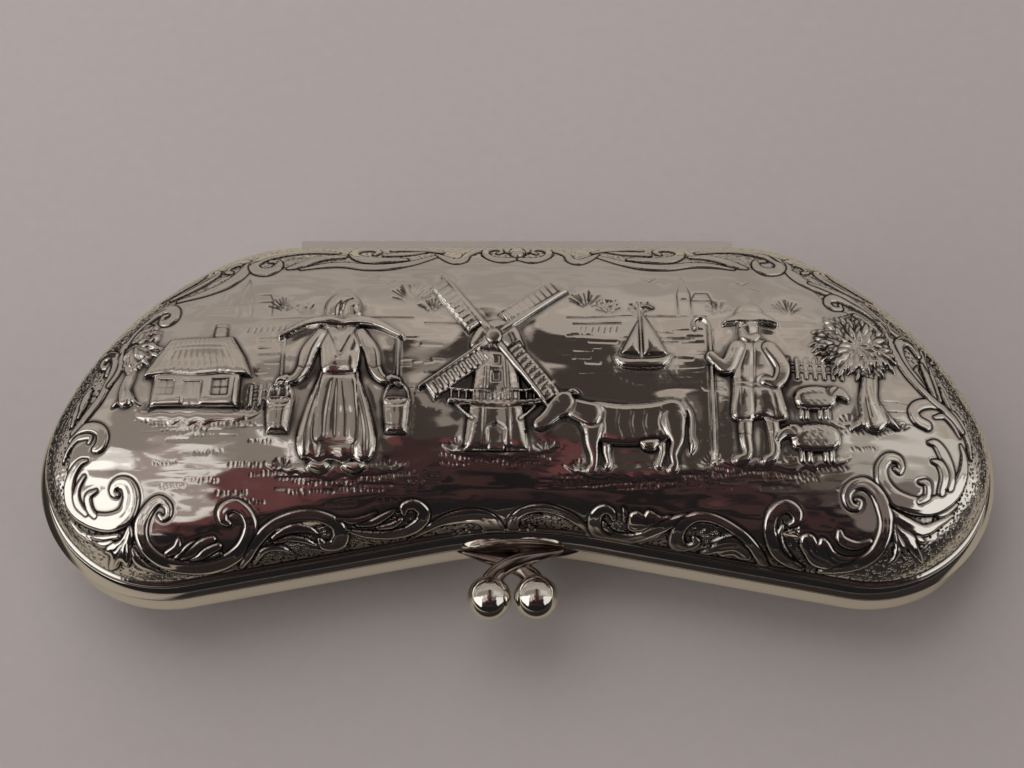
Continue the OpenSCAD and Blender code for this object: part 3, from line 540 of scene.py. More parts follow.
def pail(x, y):
    """A wooden pail hung by a chain and a bow."""
    fill([(x - 2.2, y + 5.2), (x - 1.7, y), (x + 1.7, y), (x + 2.2, y + 5.2)], tall=1.2, shoulder=1.5,
         base=0.2, curved=False, lift=0.5)
    for level in (1.2, 3.8):
        cut([(x - 2, y + level + .3), (x, y + level), (x + 2, y + level + .3)], width=0.16, deep=0.12)
    for step in (-0.9, 0, 0.9):
        cut([(x + step, y + .4), (x + step * 1.15, y + 4.9)], width=0.1, deep=0.06, ink=0.5, curved=False)
    fill(ring(x, y + 5.3, 2.2, .7), tall=0.4, shoulder=0.4, base=1.1, groove=0.1)
    fill(ring(x, y + 5.3, 1.6, .35), tall=0.05, shoulder=0.3, base=0.9, groove=0.1, ink=1.0)
    lay([(x - 2.1, y + 5.4, .17), (x - 1.5, y + 7.5, .17), (x, y + 8.4, .2), (x + 1.5, y + 7.5, .17),
         (x + 2.1, y + 5.4, .17)], tall=0.5, base=0.5, groove=0.1)


def milkmaid(x, y):
    feet = [[(-3.8, .5, .7), (-2.3, .3, .95), (-1.3, .6, .5)], [(1.4, .6, .6), (2.8, .3, .95), (4.2, .6, .5)]]
    for points in feet:
        lay(placed(points, x, y), tall=1.0, base=0.2, lift=0.5)
    skirt = [(-5.7, 1.9), (-6.2, 5), (-5, 10), (-3.4, 14.6), (-2.6, 16.6), (2.6, 16.6), (3.4, 14.6), (5, 10),
             (6.2, 5), (5.7, 1.9), (4.2, 1), (2.6, 1.5), (1, .9), (-1, 1.4), (-2.6, .9), (-4.2, 1.5)]
    fill(placed(skirt, x, y), tall=1.4, shoulder=3.6, base=0.2, lift=0.9)
    for bend in (-4.7, -2.9, 2.9, 4.7):
        cut(placed([(bend, 2.4), (bend * .95, 7), (bend * .55, 14.6)], x, y), width=0.3, deep=0.22, ink=0.6)
    apron = [(-3.5, 4.6), (-3.2, 10), (-2.2, 16), (2.2, 16), (3.2, 10), (3.5, 4.6), (1.6, 3.9), (-1.6, 3.9)]
    fill(placed(apron, x, y), tall=0.6, shoulder=2.4, base=1.25, groove=0.14, lift=0.9)
    for bend in (-1.7, 0, 1.6):
        cut(placed([(bend, 5.2), (bend * .9, 9), (bend * .5, 14)], x, y), width=0.24, deep=0.12, ink=0.45)
    bodice = [(-2.7, 15.8), (-3.3, 19.5), (-3.7, 22.4), (-2.6, 24), (0, 24.7), (2.6, 24), (3.7, 22.4),
              (3.3, 19.5), (2.7, 15.8), (0, 15.2)]
    fill(placed(bodice, x, y), tall=1.3, shoulder=2.6, base=0.6, groove=0.16, lift=0.9)
    for side in (-1, 1):
        cut(placed([(2.5 * side, 23.8), (1.1 * side, 20.6), (.15 * side, 18.4)], x, y), deep=0.16)
    for level in (17, 18, 19):
        cut(placed([(-.5, level), (.5, level)], x, y), width=0.12, deep=0.08, ink=0.6, curved=False)
    for flip in (False, True):
        arm = [(3.3, 22.6, 1.0), (5, 19.4, 1.25), (5.7, 16.4, 1.05), (6.9, 14.6, .8), (8.6, 14.2, .65)]
        lay(placed(arm, x, y, flip=flip), tall=1.3, base=0.5, lift=0.7)
        cut(placed([(4.6, 16.8), (5.6, 16.2), (6.6, 16.6)], x, y, flip=flip), deep=0.14)
        lay(placed([(9.3, 21.9, .17), (9.3, 14.6, .17)], x, y, flip=flip), tall=0.5, base=0.3, groove=0.1)
        lay(placed([(8.4, 14.6, .7), (9.3, 14.2, .75), (9.8, 13.6, .4)], x, y, flip=flip), tall=0.8, base=0.6)
    for side in (-9.3, 9.3):
        pail(x + side, y + 5.6)
    bonnet = [(-2.9, 26), (-2.8, 28.2), (-1.5, 29.9), (.6, 30.3), (2.3, 29.3), (2.9, 27.6), (2.4, 25.9),
              (1.4, 24.6), (-.6, 24.2), (-2.2, 24.7)]
    fill(placed(bonnet, x, y), tall=1.4, shoulder=2.7, base=0.4, lift=0.8)
    lay(placed([(0, 24, .9), (.3, 25.6, .9)], x, y), tall=0.7, base=0.8, groove=0.06, ink=0.4)
    profile = [(.4, 24.6), (0, 26.3), (.5, 28), (1.7, 28.6), (2.5, 27.9), (2.7, 26.9), (3.2, 26.2), (2.7, 25.7),
               (2.4, 24.8), (1.4, 24.1)]
    fill(placed(profile, x, y), tall=0.8, shoulder=1.3, base=0.9, groove=0.08, ink=0.6)
    cut(placed([(1.5, 27.1), (2, 27.2), (2.4, 26.9)], x, y), width=0.12, deep=0.1, ink=0.5)
    cut(placed([(1.9, 25.3), (2.5, 25.4)], x, y), width=0.1, deep=0.08, ink=0.5, curved=False)
    lay(placed([(1.6, 29, .3), (.1, 28.2, .35), (-.5, 26.4, .35), (0, 24.7, .3)], x, y), tall=0.3, base=1.4,
        groove=0.08, ink=0.6)
    yoke = [(-9.8, 22, .4), (-5.6, 24.3, .65), (-2.2, 24.9, .8), (0, 24.6, .6), (2.2, 24.9, .8), (5.6, 24.3, .65),
            (9.8, 22, .4)]
    lay(placed(yoke, x, y), tall=0.6, base=1.5, lift=0.9)


def mill(x, y):
    body = [(-5.2, 0), (-4.1, 9), (-3.1, 17.2), (3.1, 17.2), (4.1, 9), (5.2, 0)]
    fill(placed(body, x, y), tall=1.7, shoulder=2.8, base=0.1, curved=False, lift=1.0)
    for side in (-1, 1):
        cut(placed([(2.2 * side, .3), (1.3 * side, 17)], x, y), width=0.22, deep=0.14, ink=0.7, curved=False)
    for level in range(1, 16):
        w = 5 - level * 0.12
        for start in (-w, -1.9, 2.3):
            cut(placed([(start + .2, level), (start + .2 + w * rng.uniform(.3, .5), level)], x, y),
                width=0.1, deep=0.05, ink=0.4, curved=False)
    fill(placed([(-1.3, 0), (-1.3, 3.4), (0, 4.3), (1.3, 3.4), (1.3, 0)], x, y), tall=0.2, shoulder=0.4,
         base=1.1, curved=False, groove=0.2)
    for level in (11.2, 14):
        fill(placed([(-.6, level), (-.6, level + 1.4), (.6, level + 1.4), (.6, level)], x, y), tall=0.1,
             shoulder=0.3, base=1.3, curved=False)
    for side in (-1, 1):
        lay(placed([(3.8 * side, 5, .22), (6.6 * side, 7.6, .22)], x, y), tall=0.5, base=0.7)
    lay(placed([(-7.4, 8, .4), (0, 7.4, .5), (7.4, 8, .4)], x, y), tall=0.6, base=1.5, lift=0.6)
    for k in range(13):
        px = -7.2 + 1.2 * k
        foot = 7.6 + 0.4 * (px / 7.2) ** 2
        lay(placed([(px, foot + .2, .13), (px, foot + 2, .13)], x, y), tall=0.3, base=1.4, groove=0.05, ink=0.7)
    lay(placed([(-7.4, 10, .17), (0, 9.5, .17), (7.4, 10, .17)], x, y), tall=0.4, base=1.6, groove=0.08)
    cap = [(-3.9, 16.8), (-3.8, 19), (-2, 21.2), (.6, 21.8), (3, 20.6), (4, 18.6), (4.1, 16.8), (0, 16.4)]
    fill(placed(cap, x, y), tall=0.9, shoulder=2.4, base=1.1, lift=0.9)
    for bend in (-2.2, -.8, .8, 2.2):
        cut(placed([(bend * .5, 21.2), (bend, 19), (bend * 1.3, 17)], x, y), width=0.12, deep=0.09, ink=0.6)
    hub = (-.4, 18.8)
    for turn in (36, 126, 216, 306):
        a = math.radians(turn)
        ux, uy, vx, vy = math.cos(a), math.sin(a), -math.sin(a), math.cos(a)

        def arm(r, s):
            return (hub[0] + r * ux + s * vx, hub[1] + r * uy + s * vy)
        fill(placed([arm(3.2, 0), arm(3.2, 2.7), arm(13.8, 3), arm(13.8, 0)], x, y), tall=0.45, shoulder=0.6,
             base=1.0, curved=False, groove=0.2, lift=0.7)
        for k in range(9):
            r = 4.1 + 1.15 * k
            cut(placed([arm(r, .3), arm(r, 2.7)], x, y), width=0.2, deep=0.26, ink=0.9, curved=False)
        cut(placed([arm(3.6, 1.6), arm(13.4, 1.8)], x, y), width=0.1, deep=0.08, ink=0.5, curved=False)
        lay(placed([arm(.4, 0) + (.5,), arm(7, 0) + (.4,), arm(14.6, 0) + (.28,)], x, y), tall=0.7, base=1.3,
            groove=0.14, lift=0.7)
    fill(ring(x + hub[0], y + hub[1], 1.2, 1.2), tall=0.8, shoulder=1.1, base=1.9, groove=0.12)


def cow(x, y, s, flip=False):
    far_legs = [[(-3.4, 5.6, .9), (-3.6, 3, .65), (-3.2, 1, .5), (-3.5, .5, .6)],
                [(4.8, 5.6, 1.0), (5.2, 3.2, .65), (4.8, 1.2, .5), (4.6, .6, .6)]]
    for points in far_legs:
        lay(placed(points, x, y, s, flip), tall=0.8, base=0.1, lift=0.5)
    tail = [(8.7, 10.6, .35), (9.8, 8.6, .3), (9.7, 5.4, .3), (10, 3.8, .6), (9.7, 2.4, .2)]
    lay(placed(tail, x, y, s, flip), tall=0.7, base=0.3)
    body = [(-7.6, 7), (-8, 9.4), (-5.8, 10.8), (-1, 10.4), (3.5, 10.6), (7.2, 11.1), (9, 9.8), (8.9, 6.8),
            (7.4, 4.9), (3.6, 4), (-.6, 3.7), (-4.6, 4.2), (-6.6, 5.2)]
    fill(placed(body, x, y, s, flip), tall=1.7, shoulder=3.4 * s, base=0.2, lift=1.0)
    fill(placed([(1.8, 4.4), (2.4, 3), (4, 2.9), (4.6, 4.6)], x, y, s, flip), tall=0.8, shoulder=0.9, base=0.5)
    near_legs = [[(-5.6, 6.8, 1.6), (-5.8, 4.2, 1.0), (-5.5, 2.2, .65), (-5.6, .7, .6), (-6, .1, .75)],
                 [(6.9, 7.4, 2.0), (7.5, 4.6, 1.1), (6.9, 2.4, .65), (7.1, .8, .6), (6.8, .1, .75)]]
    for points in near_legs:
        lay(placed(points, x, y, s, flip), tall=1.1, base=1.0, groove=0.12, ink=0.7, lift=0.6)
    neck = [(-6, 8.6, 2.0), (-8.6, 9.6, 1.7), (-10.4, 10.4, 1.4)]
    lay(placed(neck, x, y, s, flip), tall=1.3, base=0.6, groove=0.1, ink=0.6, lift=0.7)
    lay(placed([(-10.2, 11.8, .3), (-8.9, 12.4, .55), (-8, 12.2, .25)], x, y, s, flip), tall=0.5, base=1.2)
    lay(placed([(-11.2, 12, .3), (-12.2, 13, .32), (-11.9, 14.2, .2)], x, y, s, flip), tall=0.5, base=1.0)
    head = [(-9.2, 12), (-10.8, 12.3), (-12.4, 10.9), (-13.7, 9), (-15, 7.8), (-15.1, 6.7), (-14, 6.2), (-12.5, 6.9),
            (-11, 8), (-9.6, 8.7), (-8.6, 10.4)]
    fill(placed(head, x, y, s, flip), tall=0.9, shoulder=1.5 * s, base=1.1, groove=0.14, ink=0.8, lift=0.7)
    cut(placed([(-11.9, 10.5), (-11.5, 10.7), (-11.1, 10.5)], x, y, s, flip), width=0.16, deep=0.16)
    cut(placed([(-14.3, 7.9), (-13.9, 7.2)], x, y, s, flip), width=0.12, deep=0.1, curved=False)
    for points in ([(-3.6, 9.8), (-4.6, 7.6), (-3.8, 5.4)], [(4.8, 9.9), (5.4, 7.4), (4.6, 5.4)],
                   [(-1.6, 9), (-1.9, 7), (-1.3, 5)], [(.6, 9), (.3, 7), (.8, 5)], [(2.7, 9), (2.4, 7), (2.9, 5.2)]):
        cut(placed(points, x, y, s, flip), width=0.24, deep=0.07, ink=0.25)


def sheep(x, y, s, flip=False):
    for px in (-1.9, -.7, 1.8, 2.8):
        lay(placed([(px, 2.4, .45), (px, .2, .38)], x, y, s, flip), tall=0.7, base=0.1, lift=0.3)
    wool = [(-3, 2), (-3.8, 3.6), (-3, 5.2), (-1, 6), (1.4, 6), (3.6, 5.2), (4.2, 3.4), (3.2, 1.9), (0, 1.5)]
    fill(placed(wool, x, y, s, flip), tall=1.4, shoulder=2.2 * s, base=0.2, lift=0.8)
    for row, level in enumerate((2.6, 3.7, 4.8)):
        for k in range(5):
            cx = -2.4 + 1.25 * k + 0.5 * (row % 2)
            cut(placed([(cx - .45, level), (cx, level + .42), (cx + .45, level)], x, y, s, flip),
                width=0.13, deep=0.14, ink=0.6)
    lay(placed([(-3, 4.9, 1.1), (-4.6, 4.5, .85), (-5.6, 3.5, .6)], x, y, s, flip), tall=1.0, base=0.8, lift=0.5)
    lay(placed([(-3.6, 5.6, .3), (-2.8, 5, .4), (-2.6, 4.4, .2)], x, y, s, flip), tall=0.4, base=1.5)


def shepherd(x, y):
    crook = [(-6.8, .2, .26), (-6.7, 12, .26), (-6.6, 21.6, .26), (-6.8, 23.8, .26), (-7.9, 24.8, .26),
             (-9.1, 24, .26), (-8.9, 22.8, .24)]
    for points in ([(-1.6, 8, 1.3), (-1.9, 4.4, 1.05), (-1.7, 1.4, .85), (-3.2, .5, .8)],
                   [(2.2, 8, 1.3), (2.6, 4.4, 1.05), (2.5, 1.4, .85), (1.2, .4, .8)]):
        lay(placed(points, x, y), tall=1.3, base=0.2, lift=0.6)
        cut(placed([(points[1][0] - 1, 4.6), (points[1][0] + 1, 4.4)], x, y), deep=0.12, curved=False)
    coat = [(-3.9, 7.4), (-3.5, 12), (-3.4, 17), (-3, 20), (0, 21.4), (3.1, 20), (3.9, 16), (4.4, 11.4),
            (5, 7.2), (2.8, 6.6), (1, 7.2), (-1.4, 6.6)]
    fill(placed(coat, x, y), tall=1.6, shoulder=3.2, base=0.4, lift=1.0)
    for points in ([(.2, 20), (-.2, 14), (-.6, 7.4)], [(2.6, 12), (3, 9), (3.2, 7.4)], [(-2.2, 12), (-2.4, 9.4)],
                   [(-3.2, 12.6), (0, 12.2), (3.8, 12.6)], [(-3.2, 13.3), (0, 12.9), (3.8, 13.3)]):
        cut(placed(points, x, y), width=0.22, deep=0.16, ink=0.6)
    lay(placed([(2.8, 19, 1.2), (4.6, 15.6, 1.2), (3.6, 13, 1.0), (1.6, 13.2, .75)], x, y), tall=1.1, base=1.2,
        lift=0.7)
    lay(placed(crook, x, y), tall=0.6, base=0.6, lift=0.3)
    lay(placed([(-2.4, 19.2, 1.2), (-4.2, 15.8, 1.2), (-5.6, 16.4, .95), (-6.7, 17.6, .8)], x, y), tall=1.2,
        base=1.0, lift=0.7)
    face(x - .2, y + 22.8, 0.95, 0.8)
    lay(placed([(-1.6, 22.4, .3), (-1.1, 21, .6), (0, 20.6, .7), (1.1, 21.2, .5)], x, y), tall=0.5, base=1.6,
        groove=0.1, ink=0.6)
    fill(placed([(-2, 24.4), (-1.7, 26.4), (.2, 27.3), (2, 26.5), (2.3, 24.4)], x, y), tall=0.9, shoulder=1.6,
         base=0.9, lift=0.6)
    lay(placed([(-4, 23.7, .3), (-1.8, 24.4, .7), (.2, 24.6, .8), (2.4, 24.4, .7), (4.4, 23.6, .3)], x, y),
        tall=0.6, base=1.7)


def cottage(x, y):
    fill(placed([(-7, 0), (-7, 6.4), (7, 6.4), (7, 0)], x, y), tall=0.9, shoulder=0.9, base=0.1, curved=False,
         lift=0.8)
    for level in (1.2, 2.4, 3.6, 4.8):
        for _ in range(4):
            px = rng.uniform(-6.6, 5)
            cut(placed([(px, level), (px + 1.5, level)], x, y), width=0.1, deep=0.05, ink=0.4, curved=False)
    fill(placed([(-1.8, 0), (-1.8, 4.3), (1, 4.3), (1, 0)], x, y), tall=0.15, shoulder=0.3, base=0.45, curved=False)
    cut(placed([(-.4, .2), (-.4, 4.2)], x, y), width=0.1, deep=0.07, ink=0.5, curved=False)
    for px in (-5.8, 2.8):
        fill(placed([(px, 2), (px, 4.6), (px + 2.4, 4.6), (px + 2.4, 2)], x, y), tall=0.1, shoulder=0.3, base=0.45,
             curved=False)
        cut(placed([(px + 1.2, 2.1), (px + 1.2, 4.5)], x, y), width=0.12, deep=0.1, curved=False)
        cut(placed([(px + .1, 3.3), (px + 2.3, 3.3)], x, y), width=0.12, deep=0.1, curved=False)
    fill(placed([(2, 11), (2, 15), (4, 15), (4, 11)], x, y), tall=0.6, shoulder=0.7, base=0.3, curved=False)
    cut(placed([(1.9, 14.2), (4.1, 14.2)], x, y), curved=False)
    roof = [(-8.8, 5.2), (-7.4, 8.6), (-5.2, 12.2), (5.2, 12.2), (7.4, 8.6), (8.8, 5.2), (4, 5.7), (0, 5.4),
            (-4, 5.7)]
    fill(placed(roof, x, y), tall=1.0, shoulder=1.8, base=0.7, curved=False, lift=0.9)
    for k in range(15):
        s = -1 + 2 * k / 14
        drop = rng.uniform(0.1, 0.9)
        cut(placed([(5 * s, 11.8), (6.6 * s, 9), (8.2 * s, 5.9 + drop)], x, y), width=0.13, deep=0.12, ink=0.6)
    cut(placed([(-6.4, 10), (0, 10.3), (6.4, 10)], x, y), width=0.16, deep=0.1, ink=0.5)


def boat(x, y, s):
    fill(placed([(-.3, .9), (-.3, 7.4), (-3.4, 1.2)], x, y, s), tall=0.6, shoulder=1, base=0.1, curved=False,
         lift=0.3)
    fill(placed([(.3, .8), (.3, 9.2), (2.4, 5.4), (4.4, 1)], x, y, s), tall=0.6, shoulder=1, base=0.2, curved=False,
         lift=0.3)
    lay(placed([(0, .4, .2), (0, 10.2, .14)], x, y, s), tall=0.5, base=0.3, groove=0.08)
    lay(placed([(0, 10.2, .2), (1.2, 10.5, .3), (2.4, 10.1, .12)], x, y, s), tall=0.3, base=0.2, groove=0.08)
    fill(placed([(-4.6, .7), (-3.8, -1.2), (-2, -1.7), (2.6, -1.7), (4.4, -.8), (5.2, 1), (2.8, .2), (-2.6, .1)],
                x, y, s), tall=0.9, shoulder=1.1, base=0.2, lift=0.4)
    cut(placed([(-4, -.3), (0, -.9), (4.6, -.1)], x, y, s), width=0.12, deep=0.1, ink=0.6)
    for k in range(5):
        cut(placed([(-5.5 + k, -2.3 - .5 * k), (4.2 + .5 * k, -2.3 - .5 * k)], x, y, s), width=0.12, deep=0.06,
            ink=0.6, curved=False)


def fence(x0, y0, x1, y1, posts):
    for rise in (1.1, 2.4):
        lay([(x0, y0 + rise, .16), ((x0 + x1) / 2, (y0 + y1) / 2 + rise - .1, .18), (x1, y1 + rise, .16)],
            tall=0.3, base=0.15, groove=0.1)
    for k in range(posts):
        s = k / (posts - 1)
        px, py = x0 + (x1 - x0) * s, y0 + (y1 - y0) * s
        lay([(px, py, .26), (px + .1, py + 3.3, .22)], tall=0.4, base=0.2, groove=0.12)


def bank(x0, x1, y, drop):
    """Uneven ground under a figure: a low ragged step, with strokes along its foot."""
    count = int((x1 - x0) / 1.2)
    shares = [k / count for k in range(count + 1)]
    top = [(x0 + (x1 - x0) * s, y + rng.uniform(-0.2, 0.2)) for s in shares]
    foot = [(x0 + (x1 - x0) * s, y - 0.3 - drop * math.sin(math.pi * s) ** 0.7 * rng.uniform(0.65, 1.15))
            for s in shares[1:-1]]
    fill(top + foot[::-1], tall=0.2, shoulder=1.3, base=0, groove=0.05, ink=0.4, lift=0.2)
    for px, py in foot[::2]:
        n = int(rng.integers(3, 7))
        ticks(px - 0.27 * n, py - rng.uniform(.3, 1.2), px + 0.27 * n, py - rng.uniform(.3, 1.2), n, dx=-.1, dy=.25)


def draw_scene():
    """The picture: a generic Dutch farm by the water, from its far side to its near side."""
    for points in ([(-41, 12.3), (-30, 12.6), (-17, 12.3)], [(8, 12.2), (20, 12.6), (31, 12.4)],
                   [(40, 11.8), (46, 12), (49, 11.8)], [(-15, 11.2), (-9, 11)], [(9, 11), (17, 11.2)]):
        cut(points, width=0.15, deep=0.09, ink=0.8)
    # A far church and roofs, and far trees
    for x, s in ((-45, 1.0), (27.5, 1.0)):
        for points in ([(-1.1, 0), (-1.1, 4), (0, 7.6), (1.1, 4), (1.1, 0)], [(1.1, 2.6), (4.6, 2.6), (4.6, 0)],
                       [(1.1, 2.6), (1.9, 4.1), (4, 4.1), (4.6, 2.6)]):
            cut(placed(points, x, 13.1, s), width=0.16, deep=0.1, curved=False)
        cut(placed([(-.3, 3), (.3, 3)], x, 13.1, s), width=0.2, deep=0.1, curved=False)
    for x, y, r, n in ((-38.5, 14, 2.6, 11), (-17.6, 15.4, 3.6, 15), (-14, 13.6, 2.4, 9), (11.5, 14.4, 3.2, 13),
                       (15, 13.4, 2.4, 9), (33, 13.4, 2.2, 9), (44.6, 13.4, 2.8, 11), (-34.6, 13.4, 2, 8),
                       (20, 13.2, 2.2, 8)):
        spray(x, y, r, n)
        spray(x, y - 0.3, 0.6 * r, max(n // 2, 3), 30, 150)
    ticks(-44, 9.8, -36, 10.1, 9)
    ticks(10, 9.4, 16, 9.7, 7)
    ticks(-48, 15.6, -49, 16.8, 2)
    for x, y in ((-24, 20.6), (-21.6, 19.4), (22, 19.8), (24.4, 18.6), (40, 18), (37.6, 19.2)):
        cut([(x - 1, y + .35), (x - .45, y + .1), (x, y - .25), (x + .5, y + .15), (x + 1.1, y + .4)], width=0.12,
            deep=0.08)
    dashes(-42, -38, 2, 9, 12)
    dashes(-19, -12, -6, 9, 22)
    dashes(6, 30, 1.5, 10, 42, 6)
    dashes(29, 34, -9, 8, 14)
    dashes(-60, -40, -9, -5, 16)
    dashes(3, 30, -16.5, -14, 22, 6)
    dashes(-38, -12, -17, -13.5, 26, 6)
    dashes(30, 52, -17, -13, 22, 5)
    dashes(56, 64, -8, -2, 10)
    for x0, y0, n in ((-57, -12.6, 7), (-51, -8.4, 6), (-50.6, -11, 8), (-45, -12.8, 9), (-42.4, -9.2, 7),
                      (-56, -16.4, 8), (-52, -15.2, 10), (-47, -17.4, 9), (-42, -14.4, 12), (-44, -18.6, 8),
                      (-36, -17.2, 14), (-28, -16.6, 13), (-22, -18.2, 10), (-17, -15.4, 9), (-12, -12.6, 8),
                      (-30, -19, 9), (6, -15.4, 7), (31, -14.6, 9), (44, -15.4, 6), (52.6, -10.4, 7)):
        ticks(x0, y0, x0 + 0.5 * n, y0 + rng.uniform(-.3, .3), n, dx=-0.1, dy=0.25)
    tree(-62.6, -2.6, 0.62, (-62.4, 8.2, 3.4, 3.5), 42)
    cottage(-51.4, -3.6)
    fence(-42.6, -3.2, -36.8, -2.6, 5)
    boat(20, 4.6, 0.95)
    fence(43.4, 1.6, 52, 1.2, 7)
    for x0, x1, y, drop in ((-61, -41, -4.6, 1.6), (-39.6, -17.6, -12.6, 2.2), (-12, 6.6, -9.6, 2),
                            (7.4, 30.6, -12.8, 2.2), (31.4, 52.6, -11.6, 2.2), (48.6, 61.4, -5.8, 1.4)):
        bank(x0, x1, y, drop)
    tree(56.4, -6.4, 1.0, (55.2, 7.4, 6.6, 5.2), 110)
    mill(-3.4, -10.4)
    milkmaid(-28.6, -13.4)
    cow(17.6, -13.4, 1.0)
    shepherd(37.8, -12.6)
    sheep(47.4, -5.4, 0.85, flip=True)
    sheep(46.6, -12.4, 1.0)
    for x, y, r in ((-40.4, -4.6, 2), (-43.6, -4.4, 1.6), (-59.4, -4.6, 1.8), (-9.6, -10.4, 1.8), (4.4, -10.6, 1.8),
                    (52.4, -7, 2), (60.4, -7.6, 1.8), (30.6, -12.8, 1.8), (9.6, -13.6, 1.6), (-20.4, -13.6, 1.8),
                    (-37, -13.6, 1.7), (41.8, -12.6, 1.5)):
        spray(x, y, r, 7, 25, 155)


def draw_lid():
    """Draws the whole lid: matted ground, picture and scroll border. Returns where the border is."""
    height[...] = -0.25 + 0.13 * WORN
    matt[...] = 1 - 0.45 * WORN
    fill(GROUND_LINE, tall=0.25, base=-0.25, shoulder=0.5, groove=0, ink=0.2)
    pitch, pit = 0.72, 0.22
    for x in np.arange(-82, 82, pitch):
        for y in np.arange(-34, 35, pitch):
            px, py = np.array((x, y)) + rng.uniform(-0.22, 0.22, 2)
            rows, cols, gx, gy = cells(px - 0.5, px + 0.5, py - 0.5, py + 0.5)
            if dark[rows, cols].max() > 0.15 or matt[rows, cols].min() < 0.5:
                continue
            mark = np.exp(-((gx - px) ** 2 + (gy - py) ** 2) / pit ** 2) * rng.uniform(0.3, 1)
            height[rows, cols] -= 0.08 * mark
            np.maximum(dark[rows, cols], 0.36 * mark * (1 - 0.5 * WORN[rows]), out=dark[rows, cols])
    draw_scene()
    picture = dark.copy()
    for points in LEAVES:
        lay(points, tall=0.35, base=0, power=2.6, groove=0.12, ink=0.7)
    for outline, veins in LOBED_LEAVES:
        fill(outline, tall=0.35, shoulder=0.9, base=0, groove=0.16, ink=1)
        for vein in veins:
            cut(vein, width=0.16, deep=0.14, ink=0.7)
    # Upright hatching under the middle scroll
    for top, foot in ((-22.2, -23.3), (-23.9, -24.9), (-25.5, -26.4)):
        for k in range(18):
            x = 3 + 0.5 * k + 0.2 * (foot + 22)
            cut([(x, top), (x - 0.1, foot)], width=0.13, deep=0.1, ink=0.7, curved=False)
    for points in BACK_SCROLLS + [mirrored(points) for points in BACK_SCROLLS]:
        lay(points, tall=0.26, base=0, flat=0.8, groove=0.14, ink=1)
    for points in LEFT_SCROLLS + RIGHT_SCROLLS:
        lay(points, tall=0.36, base=0, flat=0.6, hollow=0.06, power=2.6, groove=0.16, ink=1, lift=0.15)
    for points in FRONT_SCROLLS:
        lay(points, tall=0.30, base=0, flat=0.45, hollow=0.05, power=2.4, groove=0.14, ink=1)
    fill(ring(0, 27.4, 1.3, 1.5), tall=0.7, shoulder=1.2, base=0)
    return np.maximum(matt, dark > picture)


def relief():
    """The finished grids: height, oxide with painted shade, and matt ground."""
    border = draw_lid()
    # Unevenness of the hammered sheet, longer along the case than across it
    wave = rng.standard_normal(height.shape)
    slow, quick = blurred(wave, 2.2, 5.5), blurred(wave, 0.6, 2.0)
    wavy = 0.055 * slow / slow.std() + 0.022 * quick / quick.std()
    raised = blurred(height, 0.08) + blurred(swell, 0.9)
    broad = blurred(raised, 2.1)
    top = BROAD_TOP * np.tanh(broad / BROAD_TOP) + DETAIL_SHARE * (raised - broad)
    top += wavy * (1 - 0.7 * blurred(np.minimum(matt, 1), 0.3))
    top = np.minimum(top, TOP_SOFT + TOP_LAST * np.tanh((top - TOP_SOFT) / TOP_LAST))
    patches = blurred(rng.standard_normal(height.shape), 1.3)
    kept = 0.35 + 0.65 * smoothstep(patches / patches.std(), -1.0, 0.9)
    hollow = np.clip((blurred(top, 0.8) - top) / 0.32, 0, 1) * (1 - 0.6 * WORN)
    # Oxide in the lines and hollows, together with the painted shade that put() lays round each form
    oxide = 1 - (1 - np.clip(dark, 0, 1) * np.maximum(kept, border)) * (1 - 0.75 * hollow)
    return top, oxide, matt


def sampled(grid, x, y):
    """Grid values between cells."""
    fx = np.clip((x - GRID_X0) / STEP, 0, GRID_NX - 2)
    fy = np.clip((y - GRID_Y0) / STEP, 0, GRID_NY - 2)
    i, j = fx.astype(int), fy.astype(int)
    u, v = fx - i, fy - j
    return ((grid[j, i] * (1 - u) + grid[j, i + 1] * u) * (1 - v)
            + (grid[j + 1, i] * (1 - u) + grid[j + 1, i + 1] * u) * v)


def smoothstep(x, low, high):
    t = np.clip((x - low) / (high - low), 0, 1)
    return t * t * (3 - 2 * t)


# Meshes
def new_object(name, points, faces, material, attributes=None, smooth=True):
    mesh = bpy.data.meshes.new(name)
    mesh.from_pydata((np.asarray(points) * MM).tolist(), [], faces)
    mesh.update()
    if smooth:
        mesh.polygons.foreach_set("use_smooth", [True] * len(mesh.polygons))
    for key, values in (attributes or {}).items():
        data = mesh.attributes.new(key, "FLOAT", "POINT").data
        data.foreach_set("value", np.asarray(values, dtype=np.float32))
    mesh.materials.append(material)
    obj = bpy.data.objects.new(name, mesh)
    bpy.context.scene.collection.objects.link(obj)
    return obj


def frontness(half, low, high):
    """By station, how far the outline faces the front, from 0 to 1."""
    out = walls(half, 0) - walls(half, 1)
    return smoothstep(-out[:, 1], low, high)


